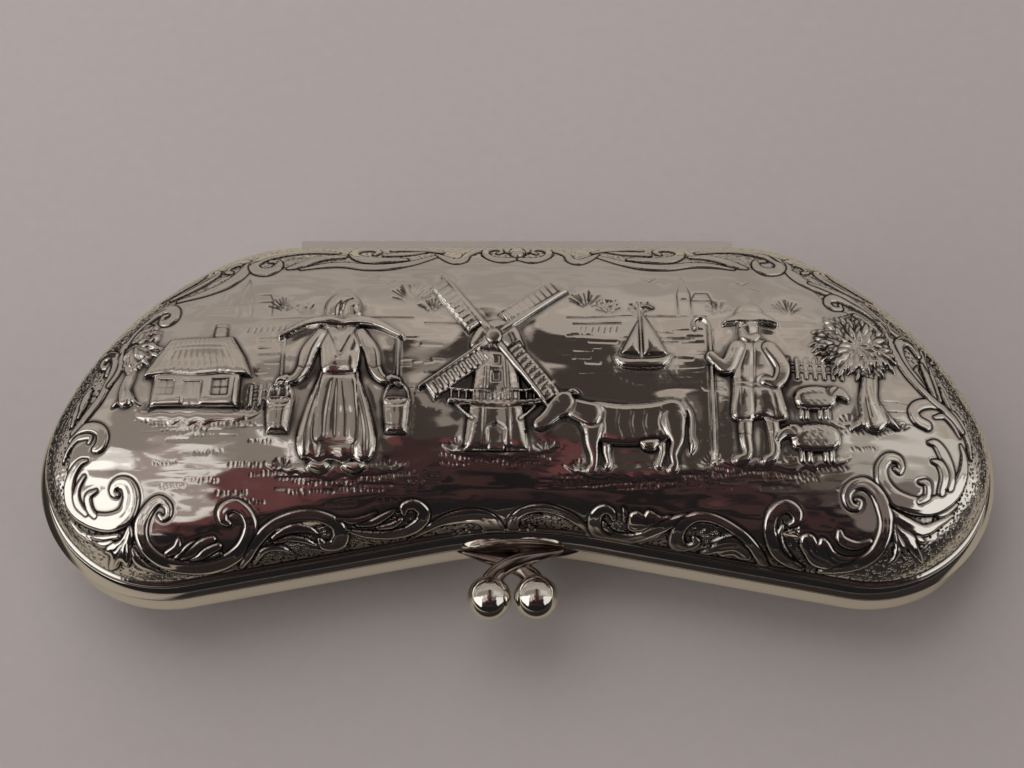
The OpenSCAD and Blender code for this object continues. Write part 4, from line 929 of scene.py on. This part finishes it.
def dome(half, rows, inset, crown, foot, rise=RIM_H, flare=0):
    """A domed skin: points by station and row, their outward normals, plan and distance from the wall's top.

    Row 0 is the wall's foot, the other rows are evenly spaced up the dome, and the last is the spine.
    """
    spine, lip = spines(half), walls(half, inset)
    wall = lip + (walls(half, inset + flare) - lip) * frontness(half, 0.1, 0.8)[:, None]
    lift = np.linspace(0, math.pi / 2, 721)
    share_in, share_up = 1 - np.cos(lift) ** (2 / FULLNESS), np.sin(lift) ** (2 / FULLNESS)
    span = np.hypot(*(spine - wall).T)
    steps = np.hypot(span[:, None] * np.diff(share_in), crown * np.diff(share_up))
    arc = np.concatenate([np.zeros((len(wall), 1)), steps.cumsum(axis=1)], axis=1)
    goal = arc[:, -1:] * np.linspace(0, 1, rows + 1)
    at = np.array([np.interp(g, a, lift) for g, a in zip(goal, arc)])
    inward, up = 1 - np.cos(at) ** (2 / FULLNESS), np.sin(at) ** (2 / FULLNESS)
    plan = wall[:, None] + (spine - wall)[:, None] * inward[..., None]
    plan += (lip - wall)[:, None] * np.exp(-goal / FLARE_FALL)[..., None]
    points = np.dstack([plan, rise + crown * up])
    ahead = np.roll(points, -1, axis=0) - np.roll(points, 1, axis=0)
    climb = np.gradient(points, axis=1)
    normal = np.cross(climb, ahead)
    normal[:, -1] = (0, 0, 1)
    normal /= np.maximum(np.linalg.norm(normal, axis=2, keepdims=True), 1e-9)
    flat = spine[:, None] + ((wall - spine) / span[:, None])[:, None] * (arc[:, -1:] - goal)[..., None]
    low = np.dstack([lip[:, None], np.full((len(lip), 1, 1), foot)])
    side = np.dstack([normal[:, :1, :2], np.zeros((len(wall), 1, 1))])
    side /= np.linalg.norm(side, axis=2, keepdims=True)
    points = np.concatenate([low, points], axis=1)
    normal = np.concatenate([side, normal], axis=1)
    flat = np.concatenate([flat[:, :1], flat], axis=1)
    goal = np.concatenate([goal[:, :1] * 0 - (rise - foot), goal], axis=1)
    return points, normal, flat, goal


def spine_row(i, half):
    j = i % (4 * half)
    return half - j if j < half else 5 * half - j if j > 3 * half else j - half


def skin_faces(half, rows, first, outward):
    """Quads of a domed skin stored row by row, its last row being the spine."""
    n, faces = 4 * half, []
    top = first + rows * n
    for k in range(rows):
        for i in range(n):
            a, b = first + k * n + i, first + k * n + (i + 1) % n
            if k < rows - 1:
                c, d = b + n, a + n
            else:
                c, d = top + spine_row(i + 1, half), top + spine_row(i, half)
            face = (a, b, c) if c == d else (a, b, c, d)
            faces.append(face if outward else face[::-1])
    return faces


def skin_values(array, half):
    """An array by station and row, put in the order of the skin's vertices."""
    body = array[:, :-1].swapaxes(0, 1).reshape((-1,) + array.shape[2:])
    return np.concatenate([body, array[half:3 * half + 1, -1]])


def to_lid(points):
    return points + np.array((0, 0, SEAM_Z))


def to_base(points):
    return points * np.array((1, 1, -1)) + np.array((0, 0, SEAM_Z))


def domed_shell(name, half, rows, inset, thick, crown, foot, place, material, outer=None, floor=None,
                rise=RIM_H, flare=0):
    """A domed sheet with a rim edge: an outer skin, which outer() may reshape, and a plain inner one."""
    points, normal, flat, arc = dome(half, rows, inset, crown, foot, rise, flare)
    values = {}
    if outer:
        points, values = outer(points, normal, flat, arc)
    inner_rows = max(rows // 12, 8)
    inner, _, _, _ = dome(half, inner_rows, inset + thick, crown - thick, foot, rise, flare)
    if floor is not None:
        points[..., 2] = np.minimum(points[..., 2], floor)
        inner[..., 2] = np.minimum(inner[..., 2], floor - thick / 2)
    out, back = skin_values(points, half), skin_values(inner, half)
    faces = skin_faces(half, rows + 1, 0, True) + skin_faces(half, inner_rows + 1, len(out), False)
    n, o = 4 * half, len(out)
    faces += [(i, i + o, (i + 1) % n + o, (i + 1) % n) for i in range(n)]
    if place is to_base:
        faces = [face[::-1] for face in faces]
    data = {key: np.concatenate([skin_values(v, half), np.zeros(len(back))]) for key, v in values.items()}
    return new_object(name, place(np.concatenate([out, back])), faces, material, data)


def loft(name, rings, material, place=None, closed=False, attributes=None):
    """A tube through rings of points, capped at its ends."""
    rings = np.asarray(rings)
    rows, n = rings.shape[:2]
    faces = []
    for k in range(rows if closed else rows - 1):
        lo, hi = k * n, (k + 1) % rows * n
        faces += [(lo + a, lo + (a + 1) % n, hi + (a + 1) % n, hi + a) for a in range(n)]
    if not closed:
        faces += [tuple(range(n))[::-1], tuple(range((rows - 1) * n, rows * n))]
    points = rings.reshape(-1, 3)
    if place:
        points = place(points)
    obj = new_object(name, points, faces, material, attributes)
    mesh = bpy.data.meshes[obj.data.name]

    bm = bmesh.new()
    bm.from_mesh(mesh)
    bmesh.ops.recalc_face_normals(bm, faces=bm.faces)
    bm.to_mesh(mesh)
    bm.free()
    return obj


# Materials
class Graph:
    """A node tree with short ways to add nodes and link them."""

    def __init__(self, tree):
        self.tree = tree
        tree.nodes.clear()

    def node(self, kind, **settings):
        made = self.tree.nodes.new("ShaderNode" + kind)
        for key, value in settings.items():
            setattr(made, key, value)
        return made

    def join(self, value, socket):
        if isinstance(value, bpy.types.NodeSocket):
            self.tree.links.new(value, socket)
        elif value is not None:
            socket.default_value = value

    def math(self, operation, *values, clamp=False):
        made = self.node("Math", operation=operation, use_clamp=clamp)
        for value, socket in zip(values, made.inputs):
            self.join(value, socket)
        return made.outputs[0]

    def step(self, value, low, high):
        """Rises smoothly from 0 at low to 1 at high."""
        made = self.node("MapRange", interpolation_type="SMOOTHSTEP")
        for key, given in (("Value", value), ("From Min", low), ("From Max", high)):
            self.join(given, made.inputs[key])
        return made.outputs[0]

    def mix(self, share, a, b):
        made = self.node("Mix", data_type="RGBA")
        for key, given in ((0, share), (6, a), (7, b)):
            self.join(given, made.inputs[key])
        return made.outputs[2]

    def noise(self, scale, detail=2.0, vector=None, stretch=None):
        if vector is None:
            vector = self.node("TexCoord").outputs["Object"]
        if stretch:
            mapping = self.node("Mapping")
            mapping.inputs["Scale"].default_value = stretch
            self.join(vector, mapping.inputs["Vector"])
            vector = mapping.outputs[0]
        made = self.node("TexNoise")
        made.inputs["Scale"].default_value = scale
        made.inputs["Detail"].default_value = detail
        self.join(vector, made.inputs["Vector"])
        return made.outputs[0]

    def bump(self, height, distance, strength=1.0, normal=None):
        made = self.node("Bump")
        for key, given in (("Height", height), ("Distance", distance), ("Strength", strength), ("Normal", normal)):
            self.join(given, made.inputs[key])
        return made.outputs[0]

    def attribute(self, name):
        return self.node("Attribute", attribute_name=name).outputs["Fac"]


def rgb(red, green, blue):
    return (red, green, blue, 1.0)


SILVER = rgb(0.86, 0.83, 0.785)
# Oxide black, which is also the colour of the painted shade on the chased silver
OXIDE_AND_SHADE = rgb(0.028, 0.02, 0.021)
BLOOM = rgb(0.60, 0.555, 0.50)

# Dark grime, which also stands in for painted shade on the lock's plates and arms
GRIME_AND_SHADE = rgb(0.17, 0.115, 0.10)


def surface(name, metallic, ior=1.45):
    material = bpy.data.materials.new(name)
    material.use_nodes = True
    graph = Graph(material.node_tree)
    shader = graph.node("BsdfPrincipled")
    shader.inputs["Metallic"].default_value = metallic
    shader.inputs["IOR"].default_value = ior
    graph.join(shader.outputs[0], graph.node("OutputMaterial").inputs["Surface"])
    return material, graph, shader


def silver(name, polish, chased=False, tarnish=0.25, uneven=0.000003, grime_and_shade=0.0, tint=None):
    """Polished silver with fine wear. Where it is chased it has oxide in its hollows, together with painted shade.
    Grime patches also paint shade where asked for.
    """
    material, g, shader = surface(name, 1.0)
    cloud = g.noise(90, 4)
    wear = g.noise(900, 2, stretch=(0.3, 1, 1))
    bloom = g.math("MULTIPLY", g.step(cloud, 0.48, 0.72), tarnish)
    colour = g.mix(bloom, tint or SILVER, BLOOM)
    if grime_and_shade:
        # Grime patches, partly real grime and partly painted shade
        patches = g.step(g.noise(330, 4, stretch=(0.5, 1, 1)), 0.30, 0.70)
        colour = g.mix(g.math("MULTIPLY_ADD", patches, 1 - grime_and_shade, grime_and_shade), colour, GRIME_AND_SHADE)
    rough = g.math("MULTIPLY_ADD", g.noise(1600, 3), 0.05, polish)
    fine = g.bump(wear, uneven)
    if chased:
        # This attribute holds oxide, and on the lid it also holds painted shade
        oxide = g.attribute("oxide")
        matt_ground = g.attribute("matt")
        cells_ = g.node("TexVoronoi")
        cells_.inputs["Scale"].default_value = 1600
        g.join(g.node("TexCoord").outputs["Object"], cells_.inputs["Vector"])
        pits = g.math("MULTIPLY", g.step(cells_.outputs["Distance"], 0.46, 0.24), matt_ground)
        spread = g.math("MULTIPLY_ADD", pits, 0.55, oxide)
        share = g.step(spread, 0.12, 0.95)
        colour = g.mix(share, colour, OXIDE_AND_SHADE)
        rough = g.math("ADD", rough, g.math("MULTIPLY_ADD", share, 0.3, g.math("MULTIPLY", matt_ground, 0.06)))
        fine = g.bump(g.math("MULTIPLY", pits, -1.0), 0.00012, 1.0, fine)
    g.join(colour, shader.inputs["Base Color"])
    g.join(rough, shader.inputs["Roughness"])
    g.join(fine, shader.inputs["Normal"])
    return material


def velvet():
    material, g, shader = surface("velvet", 0.0)
    pile = g.noise(1500, 4)
    brushed = g.noise(120, 3)
    g.join(g.mix(g.step(brushed, 0.3, 0.7), rgb(0.035, 0.045, 0.12), rgb(0.08, 0.10, 0.22)),
           shader.inputs["Base Color"])
    shader.inputs["Roughness"].default_value = 0.9
    shader.inputs["Sheen Weight"].default_value = 0.7
    shader.inputs["Sheen Roughness"].default_value = 0.35
    g.join(g.bump(pile, 0.00025), shader.inputs["Normal"])
    return material


def card():
    material, g, shader = surface("card", 0.0)
    fibre = g.noise(700, 4, stretch=(1, 4, 1))
    g.join(g.mix(fibre, rgb(0.52, 0.42, 0.31), rgb(0.70, 0.60, 0.47)), shader.inputs["Base Color"])
    shader.inputs["Roughness"].default_value = 0.85
    g.join(g.bump(fibre, 0.00006), shader.inputs["Normal"])
    return material


def paper():
    material, g, shader = surface("paper_ground", 0.0)
    tooth = g.noise(420, 5)
    cloud = g.noise(9, 2)
    tone = g.math("MULTIPLY_ADD", cloud, 0.5, g.math("MULTIPLY", tooth, 0.5))
    pale = g.mix(tone, rgb(0.412, 0.380, 0.384), rgb(0.488, 0.450, 0.455))
    # Painted reflection: in front of the case and beside it, the floor is painted near-black for glossy rays only, so
    # the silver shows a dark reflection there
    ahead = g.node("SeparateXYZ")
    g.join(g.node("TexCoord").outputs["Object"], ahead.inputs[0])
    x, y = ahead.outputs[0], ahead.outputs[1]
    front = g.math("MULTIPLY", g.step(y, -0.048, -0.058), g.step(x, -0.09, -0.07))
    left = g.math("MULTIPLY", g.step(x, -0.092, -0.102), g.step(y, -0.05, -0.035))
    right = g.math("MULTIPLY", g.step(x, 0.112, 0.122), g.step(y, -0.03, -0.015))
    painted_dark_reflection = g.math("MULTIPLY", g.node("LightPath").outputs["Is Glossy Ray"], g.math("MAXIMUM", g.math("MAXIMUM", front, left), right))
    # Painted reflection: for glossy rays the rest of the floor is painted cream instead of its pale grey
    pale_with_painted_cream = g.mix(g.node("LightPath").outputs["Is Glossy Ray"], pale, rgb(0.46, 0.415, 0.345))
    g.join(g.mix(painted_dark_reflection, pale_with_painted_cream, rgb(0.02, 0.015, 0.014)), shader.inputs["Base Color"])
    shader.inputs["Roughness"].default_value = 0.9
    g.join(g.bump(tooth, 0.00004), shader.inputs["Normal"])
    return material


chased_silver = silver("chased_silver", 0.045, chased=True, uneven=0.00001)
polished_silver = silver("polished_silver", 0.04, tarnish=0.15)
satin_silver = silver("satin_silver", 0.5, tarnish=0.15, tint=rgb(0.93, 0.90, 0.90))
# Heavy tarnish and grime for the lock's plates and arms, partly real and partly painted shade
tarnish_and_shade_silver = silver("tarnish_and_shade_silver", 0.10, tarnish=0.9, grime_and_shade=0.55)
velvet_cloth, card_board = velvet(), card()

# Lid: its chased shell
LID_HALF, LID_ROWS = 560, 180


def chase(points, normal, flat, arc):
    top, oxide, matted = relief()
    x, y = flat[..., 0], flat[..., 1]
    raised = sampled(top, x, y) * smoothstep(arc, 0.2, 1.0)
    fillet = 0.12 * np.exp(-((arc - 0.35) / 0.22) ** 2) - 0.12 * np.exp(-((arc - 0.8) / 0.15) ** 2)
    line = np.exp(-((arc - 0.8) / 0.16) ** 2)
    foot = np.exp(-(np.maximum(arc, 0) / 0.22) ** 2)
    lid_oxide_and_shade = np.maximum(sampled(oxide, x, y) * smoothstep(arc, 0.6, 0.9), np.maximum(0.85 * line, foot))
    # Painted shade: along the waist of the front, the silver beside the rim is painted dark
    painted_front_shade = (1 - smoothstep(np.abs(x), 44, 56)) * smoothstep(-y, 10, 16) * np.exp(-(np.maximum(arc, 0) / 3.4) ** 4)
    lid_oxide_and_shade = np.maximum(lid_oxide_and_shade, 0.62 * painted_front_shade)
    # The lid's attribute holds oxide together with the painted shade of the waist
    values = {"oxide": lid_oxide_and_shade, "matt": sampled(matted, x, y) * smoothstep(arc, 0.8, 1.1)}
    return points + normal * (raised + fillet)[..., None], values


lid_skin = domed_shell("lid_chased_shell", LID_HALF, LID_ROWS, LID_RIM_W, SHEET_T, DOME_H + RIM_H - LID_RIM_H,
                       SEAM / 2, to_lid, chased_silver, outer=chase, rise=LID_RIM_H, flare=FLARE)
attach(lid_skin, "lid")
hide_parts("lid_shell")


def plain(points, normal, flat, arc):
    """The base: smooth, with two chased lines round it."""
    lines = sum(np.exp(-((arc - at) / 0.22) ** 2) for at in (1.5, 2.6))
    x, y = points[..., 0], points[..., 1]
    waves = 0.02 * (np.sin(x / 5.3 + 1.3) * np.sin(y / 4.1 + 0.4) + 0.6 * np.sin(x / 2.9) * np.cos(y / 3.3 + 2))
    foot = np.exp(-(np.maximum(arc, 0) / 0.22) ** 2)
    values = {"oxide": np.maximum(0.8 * lines, foot), "matt": 0 * arc}
    return points + normal * (waves * smoothstep(arc, 0, 3) - 0.1 * lines)[..., None], values


base_silver = silver("base_silver", 0.1, chased=True, tarnish=0.5)
base_skin = domed_shell("base_plain_shell", 200, 60, BASE_RIM_W, SHEET_T, DOME_H, SEAM / 2, to_base, base_silver,
                        outer=plain, floor=SEAM_Z)
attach(base_skin, "base")
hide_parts("base_shell")

# Rims: a leaning band that rounds over towards the dome, from one end of the hinge round to the other
RIM_HALF = 220


def bezier(p, t):
    return (1 - t) ** 3 * p[0] + 3 * t * (1 - t) ** 2 * p[1] + 3 * t * t * (1 - t) * p[2] + t ** 3 * p[3]


# Insets and heights up each section, from the seam
SEAM_EDGE = [(0.12, SEAM / 2), (0.03, SEAM / 2 + 0.04), (0, SEAM / 2 + 0.12)]
LID_SECTION = SEAM_EDGE + [tuple(bezier(np.array([(0, 0.24), (0.42, 0.85), (0.95, 1.62), (1.42, 2.0)]), t))
                           for t in np.linspace(0, 1, 16)]
LID_SECTION += [(1.49, 2.06), (LID_RIM_W - SEAT, LID_RIM_H)]
BASE_SECTION = SEAM_EDGE + [(-0.02, 0.4), (-0.28, 1.15), (-0.55, 1.95), (-0.76, 2.6), (-0.84, 2.95), (-0.80, 3.25),
                            (-0.55, 3.5), (-0.1, 3.62), (BASE_RIM_W - SEAT, 3.55)]


def rim(name, section, place, body, node):
    section = section + [(section[-1][0], SEAM / 2)]
    start = HINGE_HALF + KNUCKLE_GAP
    first = math.floor(start / BACK_LEN * RIM_HALF) + 1
    rings = []
    for inset, z in section:
        wall = walls(RIM_HALF, inset)
        if inset < 0:
            flush = walls(RIM_HALF, 0)
            wall = flush + (wall - flush) * frontness(RIM_HALF, 0.6, 0.98)[:, None]
        wall = wall[first:4 * RIM_HALF - first + 1]
        end = back_point(start, max(inset, 0))
        plan = np.vstack([[end], wall, [(-end[0], end[1])]])
        rings.append(np.column_stack([plan, np.full(len(plan), z)]))
    obj = loft(name, np.array(rings).swapaxes(0, 1), polished_silver, place)
    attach(obj, body)
    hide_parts(node)


rim("lid_wire_rim", LID_SECTION, to_lid, "lid", "lid_rim")
rim("base_wire_rim", BASE_SECTION, to_base, "base", "base_rim")

# Kiss lock: plates, arms and balls
BALL_R = BALL_D / 2


def ball_centre(across):
    return np.array((BALL_SHIFT - across * (BALL_D + BALL_GAP) / 2, FRONT_Y - BALL_REACH, -BALL_CROSS))


def arm(name, across, place, body, node):
    """A tapered arm that crosses from its plate to its ball, and flares where it meets the ball."""
    face = DIP_C[1] + math.sqrt(DIP_R ** 2 - ARM_ROOT_X ** 2)
    root = np.array((BALL_SHIFT + across * ARM_ROOT_X, face - 0.35, ARM_ROOT_Z))
    tip = ball_centre(across)
    p = [root, root + (-across * ARM_ROOT_X * 0.65, -1.6, 0.3),
         tip + (across * 2.2, BALL_R + 2.6, 0.9), tip + (0, BALL_R * 0.6, 0.2)]
    rings = []
    for t in np.linspace(0, 1, 49):
        ahead = bezier(p, min(t + 0.02, 1)) - bezier(p, max(t - 0.02, 0))
        ahead /= np.linalg.norm(ahead)
        side = np.cross(ahead, (0, 0, 1))
        side /= np.linalg.norm(side)
        up = np.cross(side, ahead)
        r = 0.25 + (1.45 * ARM_R - 0.25) * math.sin(math.pi / 2 * min(1, 1.6 * t))
        r += 0.3 * float(smoothstep(t, 0.72, 0.95))
        turns = np.linspace(0, 2 * math.pi, 24, endpoint=False)
        rings.append(bezier(p, t) + r * (np.cos(turns)[:, None] * side + np.sin(turns)[:, None] * up))
    obj = loft(name, rings, tarnish_and_shade_silver, place)
    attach(obj, body)
    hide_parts(node)


def ball(name, across, place, body, node):
    """A hollow ball of two halves, with the faint joint between them burnished over."""
    centre = ball_centre(across)
    rings = []
    for lat in np.linspace(-89.5, 89.5, 73):
        a = math.radians(lat)
        r = BALL_R - 0.012 * math.exp(-(lat / 2.5) ** 2)
        turns = np.linspace(0, 2 * math.pi, 96, endpoint=False)
        rings.append(centre + np.column_stack([r * math.cos(a) * np.cos(turns),
                                               np.full(96, r * math.sin(a)),
                                               r * math.cos(a) * np.sin(turns)]))
    obj = loft(name, rings, polished_silver, place)
    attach(obj, body)
    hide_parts(node)


def plate(name, section, tall, thick, place, body, node):
    """A lens-shaped plate on the hollow of a rim, thickest near its lower edge, where it rounds over."""
    insets, levels = np.array(section[2:]).T
    rings = []
    for x in np.linspace(-PLATE_HALF + 0.05, PLATE_HALF - 0.05, 61):
        s = x / PLATE_HALF
        top = SEAM / 2 + (tall - SEAM / 2) * (1 - s * s) ** 0.8
        proud = 0.1 + (thick - 0.1) * (1 - s * s) ** 0.7
        ring_points = []
        for up, out in PLATE_SECTION:
            z = SEAM / 2 + (top - SEAM / 2) * up
            r = DIP_R - SEAT + np.interp(z, levels, insets) - proud * out
            ring_points.append((x, DIP_C[1] + math.sqrt(r * r - x * x), z))
        rings.append(ring_points)
    obj = loft(name, rings, tarnish_and_shade_silver, place)
    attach(obj, body)
    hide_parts(node)


# Share of the plate's height away from the seam, and of its thickness
PLATE_SECTION = [(0, 0), (0.0, 0.10), (0.12, 0.28), (0.24, 0.46), (0.36, 0.64), (0.48, 0.82), (0.56, 0.93),
                 (0.64, 0.99), (0.74, 1.0), (0.85, 0.9), (0.94, 0.7), (1.0, 0.4), (1.0, 0)]

for half_name, across, place in (("lid", 1, to_lid), ("base", -1, to_base)):
    section, tall, thick = (LID_SECTION, 0.55, 0.08) if across > 0 else (BASE_SECTION, PLATE_H, PLATE_T)
    plate(half_name + "_lens_plate", section, tall, thick, place, half_name, half_name + "_clasp_plate")
    arm(half_name + "_sprung_arm", across, place, half_name, half_name + "_clasp_arm")
    ball(half_name + "_silver_ball", across, place, half_name, half_name + "_clasp_ball")


# Linings: padded velvet over card, drawn in to a rolled edge
def lining(name, foot, place, body, node, floor=None):
    def pad(points, normal, flat, arc):
        x, y = flat[..., 0], flat[..., 1]
        turn = np.arctan2(y - 4, x * 0.6)
        gathers = 0.10 * np.sin(74 * turn) * np.exp(-np.maximum(arc, 0) / 3.5)
        soft = 0.12 * np.sin(x / 6.1) * np.sin(y / 5.3 + 1)
        return points - normal * (0.15 + (gathers + soft) * smoothstep(arc, -1, 3))[..., None], {}
    obj = domed_shell(name, 96, 24, LINING_INSET, LINING_T, LINING_CROWN, foot, place, velvet_cloth,
                      outer=pad, floor=floor)
    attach(obj, body)
    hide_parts(node)


lining("lid_velvet", LID_LINING_FOOT, to_lid, "lid", "lid_lining")
lining("base_velvet", BASE_LINING_FOOT, to_base, "base", "base_lining", floor=SEAM_Z - 2.0)

for node, material in (("locating_flange", polished_silver), ("base_hinge_leaf", satin_silver),
                       ("lid_hinge_leaf", satin_silver), ("hinge_pin", satin_silver),
                       ("base_liner_card", card_board), ("lid_liner_card", card_board)):
    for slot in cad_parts[node].material_slots:
        slot.link = "OBJECT"
        slot.material = material


# Floor, world, lamps and camera
def floor():
    mesh = bpy.data.meshes.new("floor")
    reach = 3.0
    mesh.from_pydata([(-reach, -reach, 0), (reach, -reach, 0), (reach, reach, 0), (-reach, reach, 0)], [],
                     [(0, 1, 2, 3)])
    mesh.materials.append(paper())
    obj = bpy.data.objects.new("floor", mesh)
    bpy.context.scene.collection.objects.link(obj)


def studio():
    """A soft room: a pale ceiling, pale walls and two windows at the sides, and dark furniture in front."""
    world = bpy.data.worlds.new("studio")
    bpy.context.scene.world = world
    world.use_nodes = True
    g = Graph(world.node_tree)
    parts = g.node("SeparateXYZ")
    g.join(g.node("TexCoord").outputs["Generated"], parts.inputs[0])
    x, y, z = parts.outputs
    haze = g.node("TexNoise")
    haze.inputs["Scale"].default_value = 5.0
    sway = g.math("SUBTRACT", haze.outputs[0], 0.5)
    tilt = g.math("DIVIDE", g.math("ARCTAN2", z, g.math("MULTIPLY", y, -1.0)), math.pi)
    tilt = g.math("MULTIPLY_ADD", sway, 0.12, tilt)
    across = g.math("MULTIPLY_ADD", sway, 0.3, x)

    patch = g.node("TexNoise")
    patch.inputs["Scale"].default_value = 8.0
    mottled = g.step(patch.outputs[0], 0.48, 0.52)

    def both(*shares):
        """Where every one of the shares is."""
        product = shares[0]
        for share in shares[1:]:
            product = g.math("MULTIPLY", product, share)
        return product

    room = g.mix(both(mottled, g.step(tilt, 0.12, 0.22)), rgb(0.014, 0.012, 0.013), rgb(0.045, 0.025, 0.024))
    room = g.mix(both(g.step(tilt, 0.33, 0.345), g.step(across, 0.03, -0.03)), room, rgb(0.12, 0.046, 0.046))
    room = g.mix(both(g.step(tilt, 0.385, 0.40), g.step(across, 0.12, 0.15)), room, rgb(0.07, 0.052, 0.047))
    cabinet = g.mix(g.step(across, -0.04, -0.08), rgb(0.052, 0.040, 0.035), rgb(0.23, 0.195, 0.17))
    cabinet = g.mix(g.step(across, 0.13, 0.17), cabinet, rgb(0.11, 0.09, 0.078))
    room = g.mix(g.step(tilt, 0.455, 0.465), room, cabinet)
    left = g.mix(g.math("MULTIPLY", mottled, 0.7), rgb(0.74, 0.70, 0.66), rgb(0.16, 0.09, 0.08))
    left = g.mix(g.step(tilt, 0.515, 0.53), left, rgb(0.25, 0.215, 0.19))
    room = g.mix(both(g.step(across, -0.16, -0.19), g.step(tilt, 0.35, 0.365)), room, left)
    room = g.mix(both(g.step(across, -0.30, -0.34), g.step(tilt, 0.29, 0.305)), room, left)
    right = g.mix(g.step(tilt, 0.455, 0.475), rgb(0.16, 0.13, 0.118), rgb(0.36, 0.325, 0.29))
    right = g.mix(both(g.step(across, 0.32, 0.36), g.step(tilt, 0.50, 0.53)), right, rgb(0.56, 0.52, 0.485))
    room = g.mix(both(g.step(across, 0.23, 0.26), g.step(tilt, 0.35, 0.37)), room, right)
    ceiling = g.mix(g.step(tilt, 0.72, 0.76), rgb(0.44, 0.385, 0.34), rgb(0.36, 0.32, 0.29))
    ceiling = g.mix(g.math("MULTIPLY", mottled, 0.25), ceiling, rgb(0.2, 0.165, 0.14))
    room = g.mix(g.step(tilt, 0.635, 0.655), room, ceiling)
    for window, glow in ((g.step(across, -0.54, -0.57), 1.2), (g.step(across, 0.60, 0.64), 0.85)):
        window = both(window, g.step(tilt, 0.12, 0.14), g.step(tilt, 0.48, 0.46))
        room = g.mix(window, room, rgb(glow, 0.97 * glow, 0.92 * glow))
    room = g.mix(g.step(z, 0.02, -0.02), room, rgb(0.30, 0.275, 0.25))
    background = g.node("Background")
    g.join(room, background.inputs["Color"])
    background.inputs["Strength"].default_value = 1.0
    g.join(background.outputs[0], g.node("OutputWorld").inputs["Surface"])


def lamp(name, place, aim, energy, width, seen):
    data = bpy.data.lights.new(name, "AREA")
    data.shape = "DISK"
    data.energy, data.size = energy, width
    data.color = (1.0, 0.985, 0.965)
    obj = bpy.data.objects.new(name, data)
    obj.location = place
    obj.rotation_euler = (Vector(aim) - Vector(place)).to_track_quat("-Z", "Y").to_euler()
    obj.visible_glossy = seen
    bpy.context.scene.collection.objects.link(obj)


floor()
studio()
lamp("ceiling", (-0.24, 0.42, 0.50), (0, 0, 0), 3.5, 0.9, False)
lamp("window", (-0.6, -0.35, 0.6), (0, 0, 0), 0.9, 0.9, False)

lens = bpy.data.cameras.new("camera")
lens.sensor_width, lens.lens = 36, 18 / math.tan(math.radians(22))
lens.clip_start = 0.01
camera = bpy.data.objects.new("camera", lens)
camera.location = (-0.9 * MM, -75.5 * MM, 214.6 * MM)
camera.rotation_euler = (math.radians(22), 0, 0)
bpy.context.scene.collection.objects.link(camera)
bpy.context.scene.camera = camera
bpy.context.scene.view_settings.view_transform = "Standard"
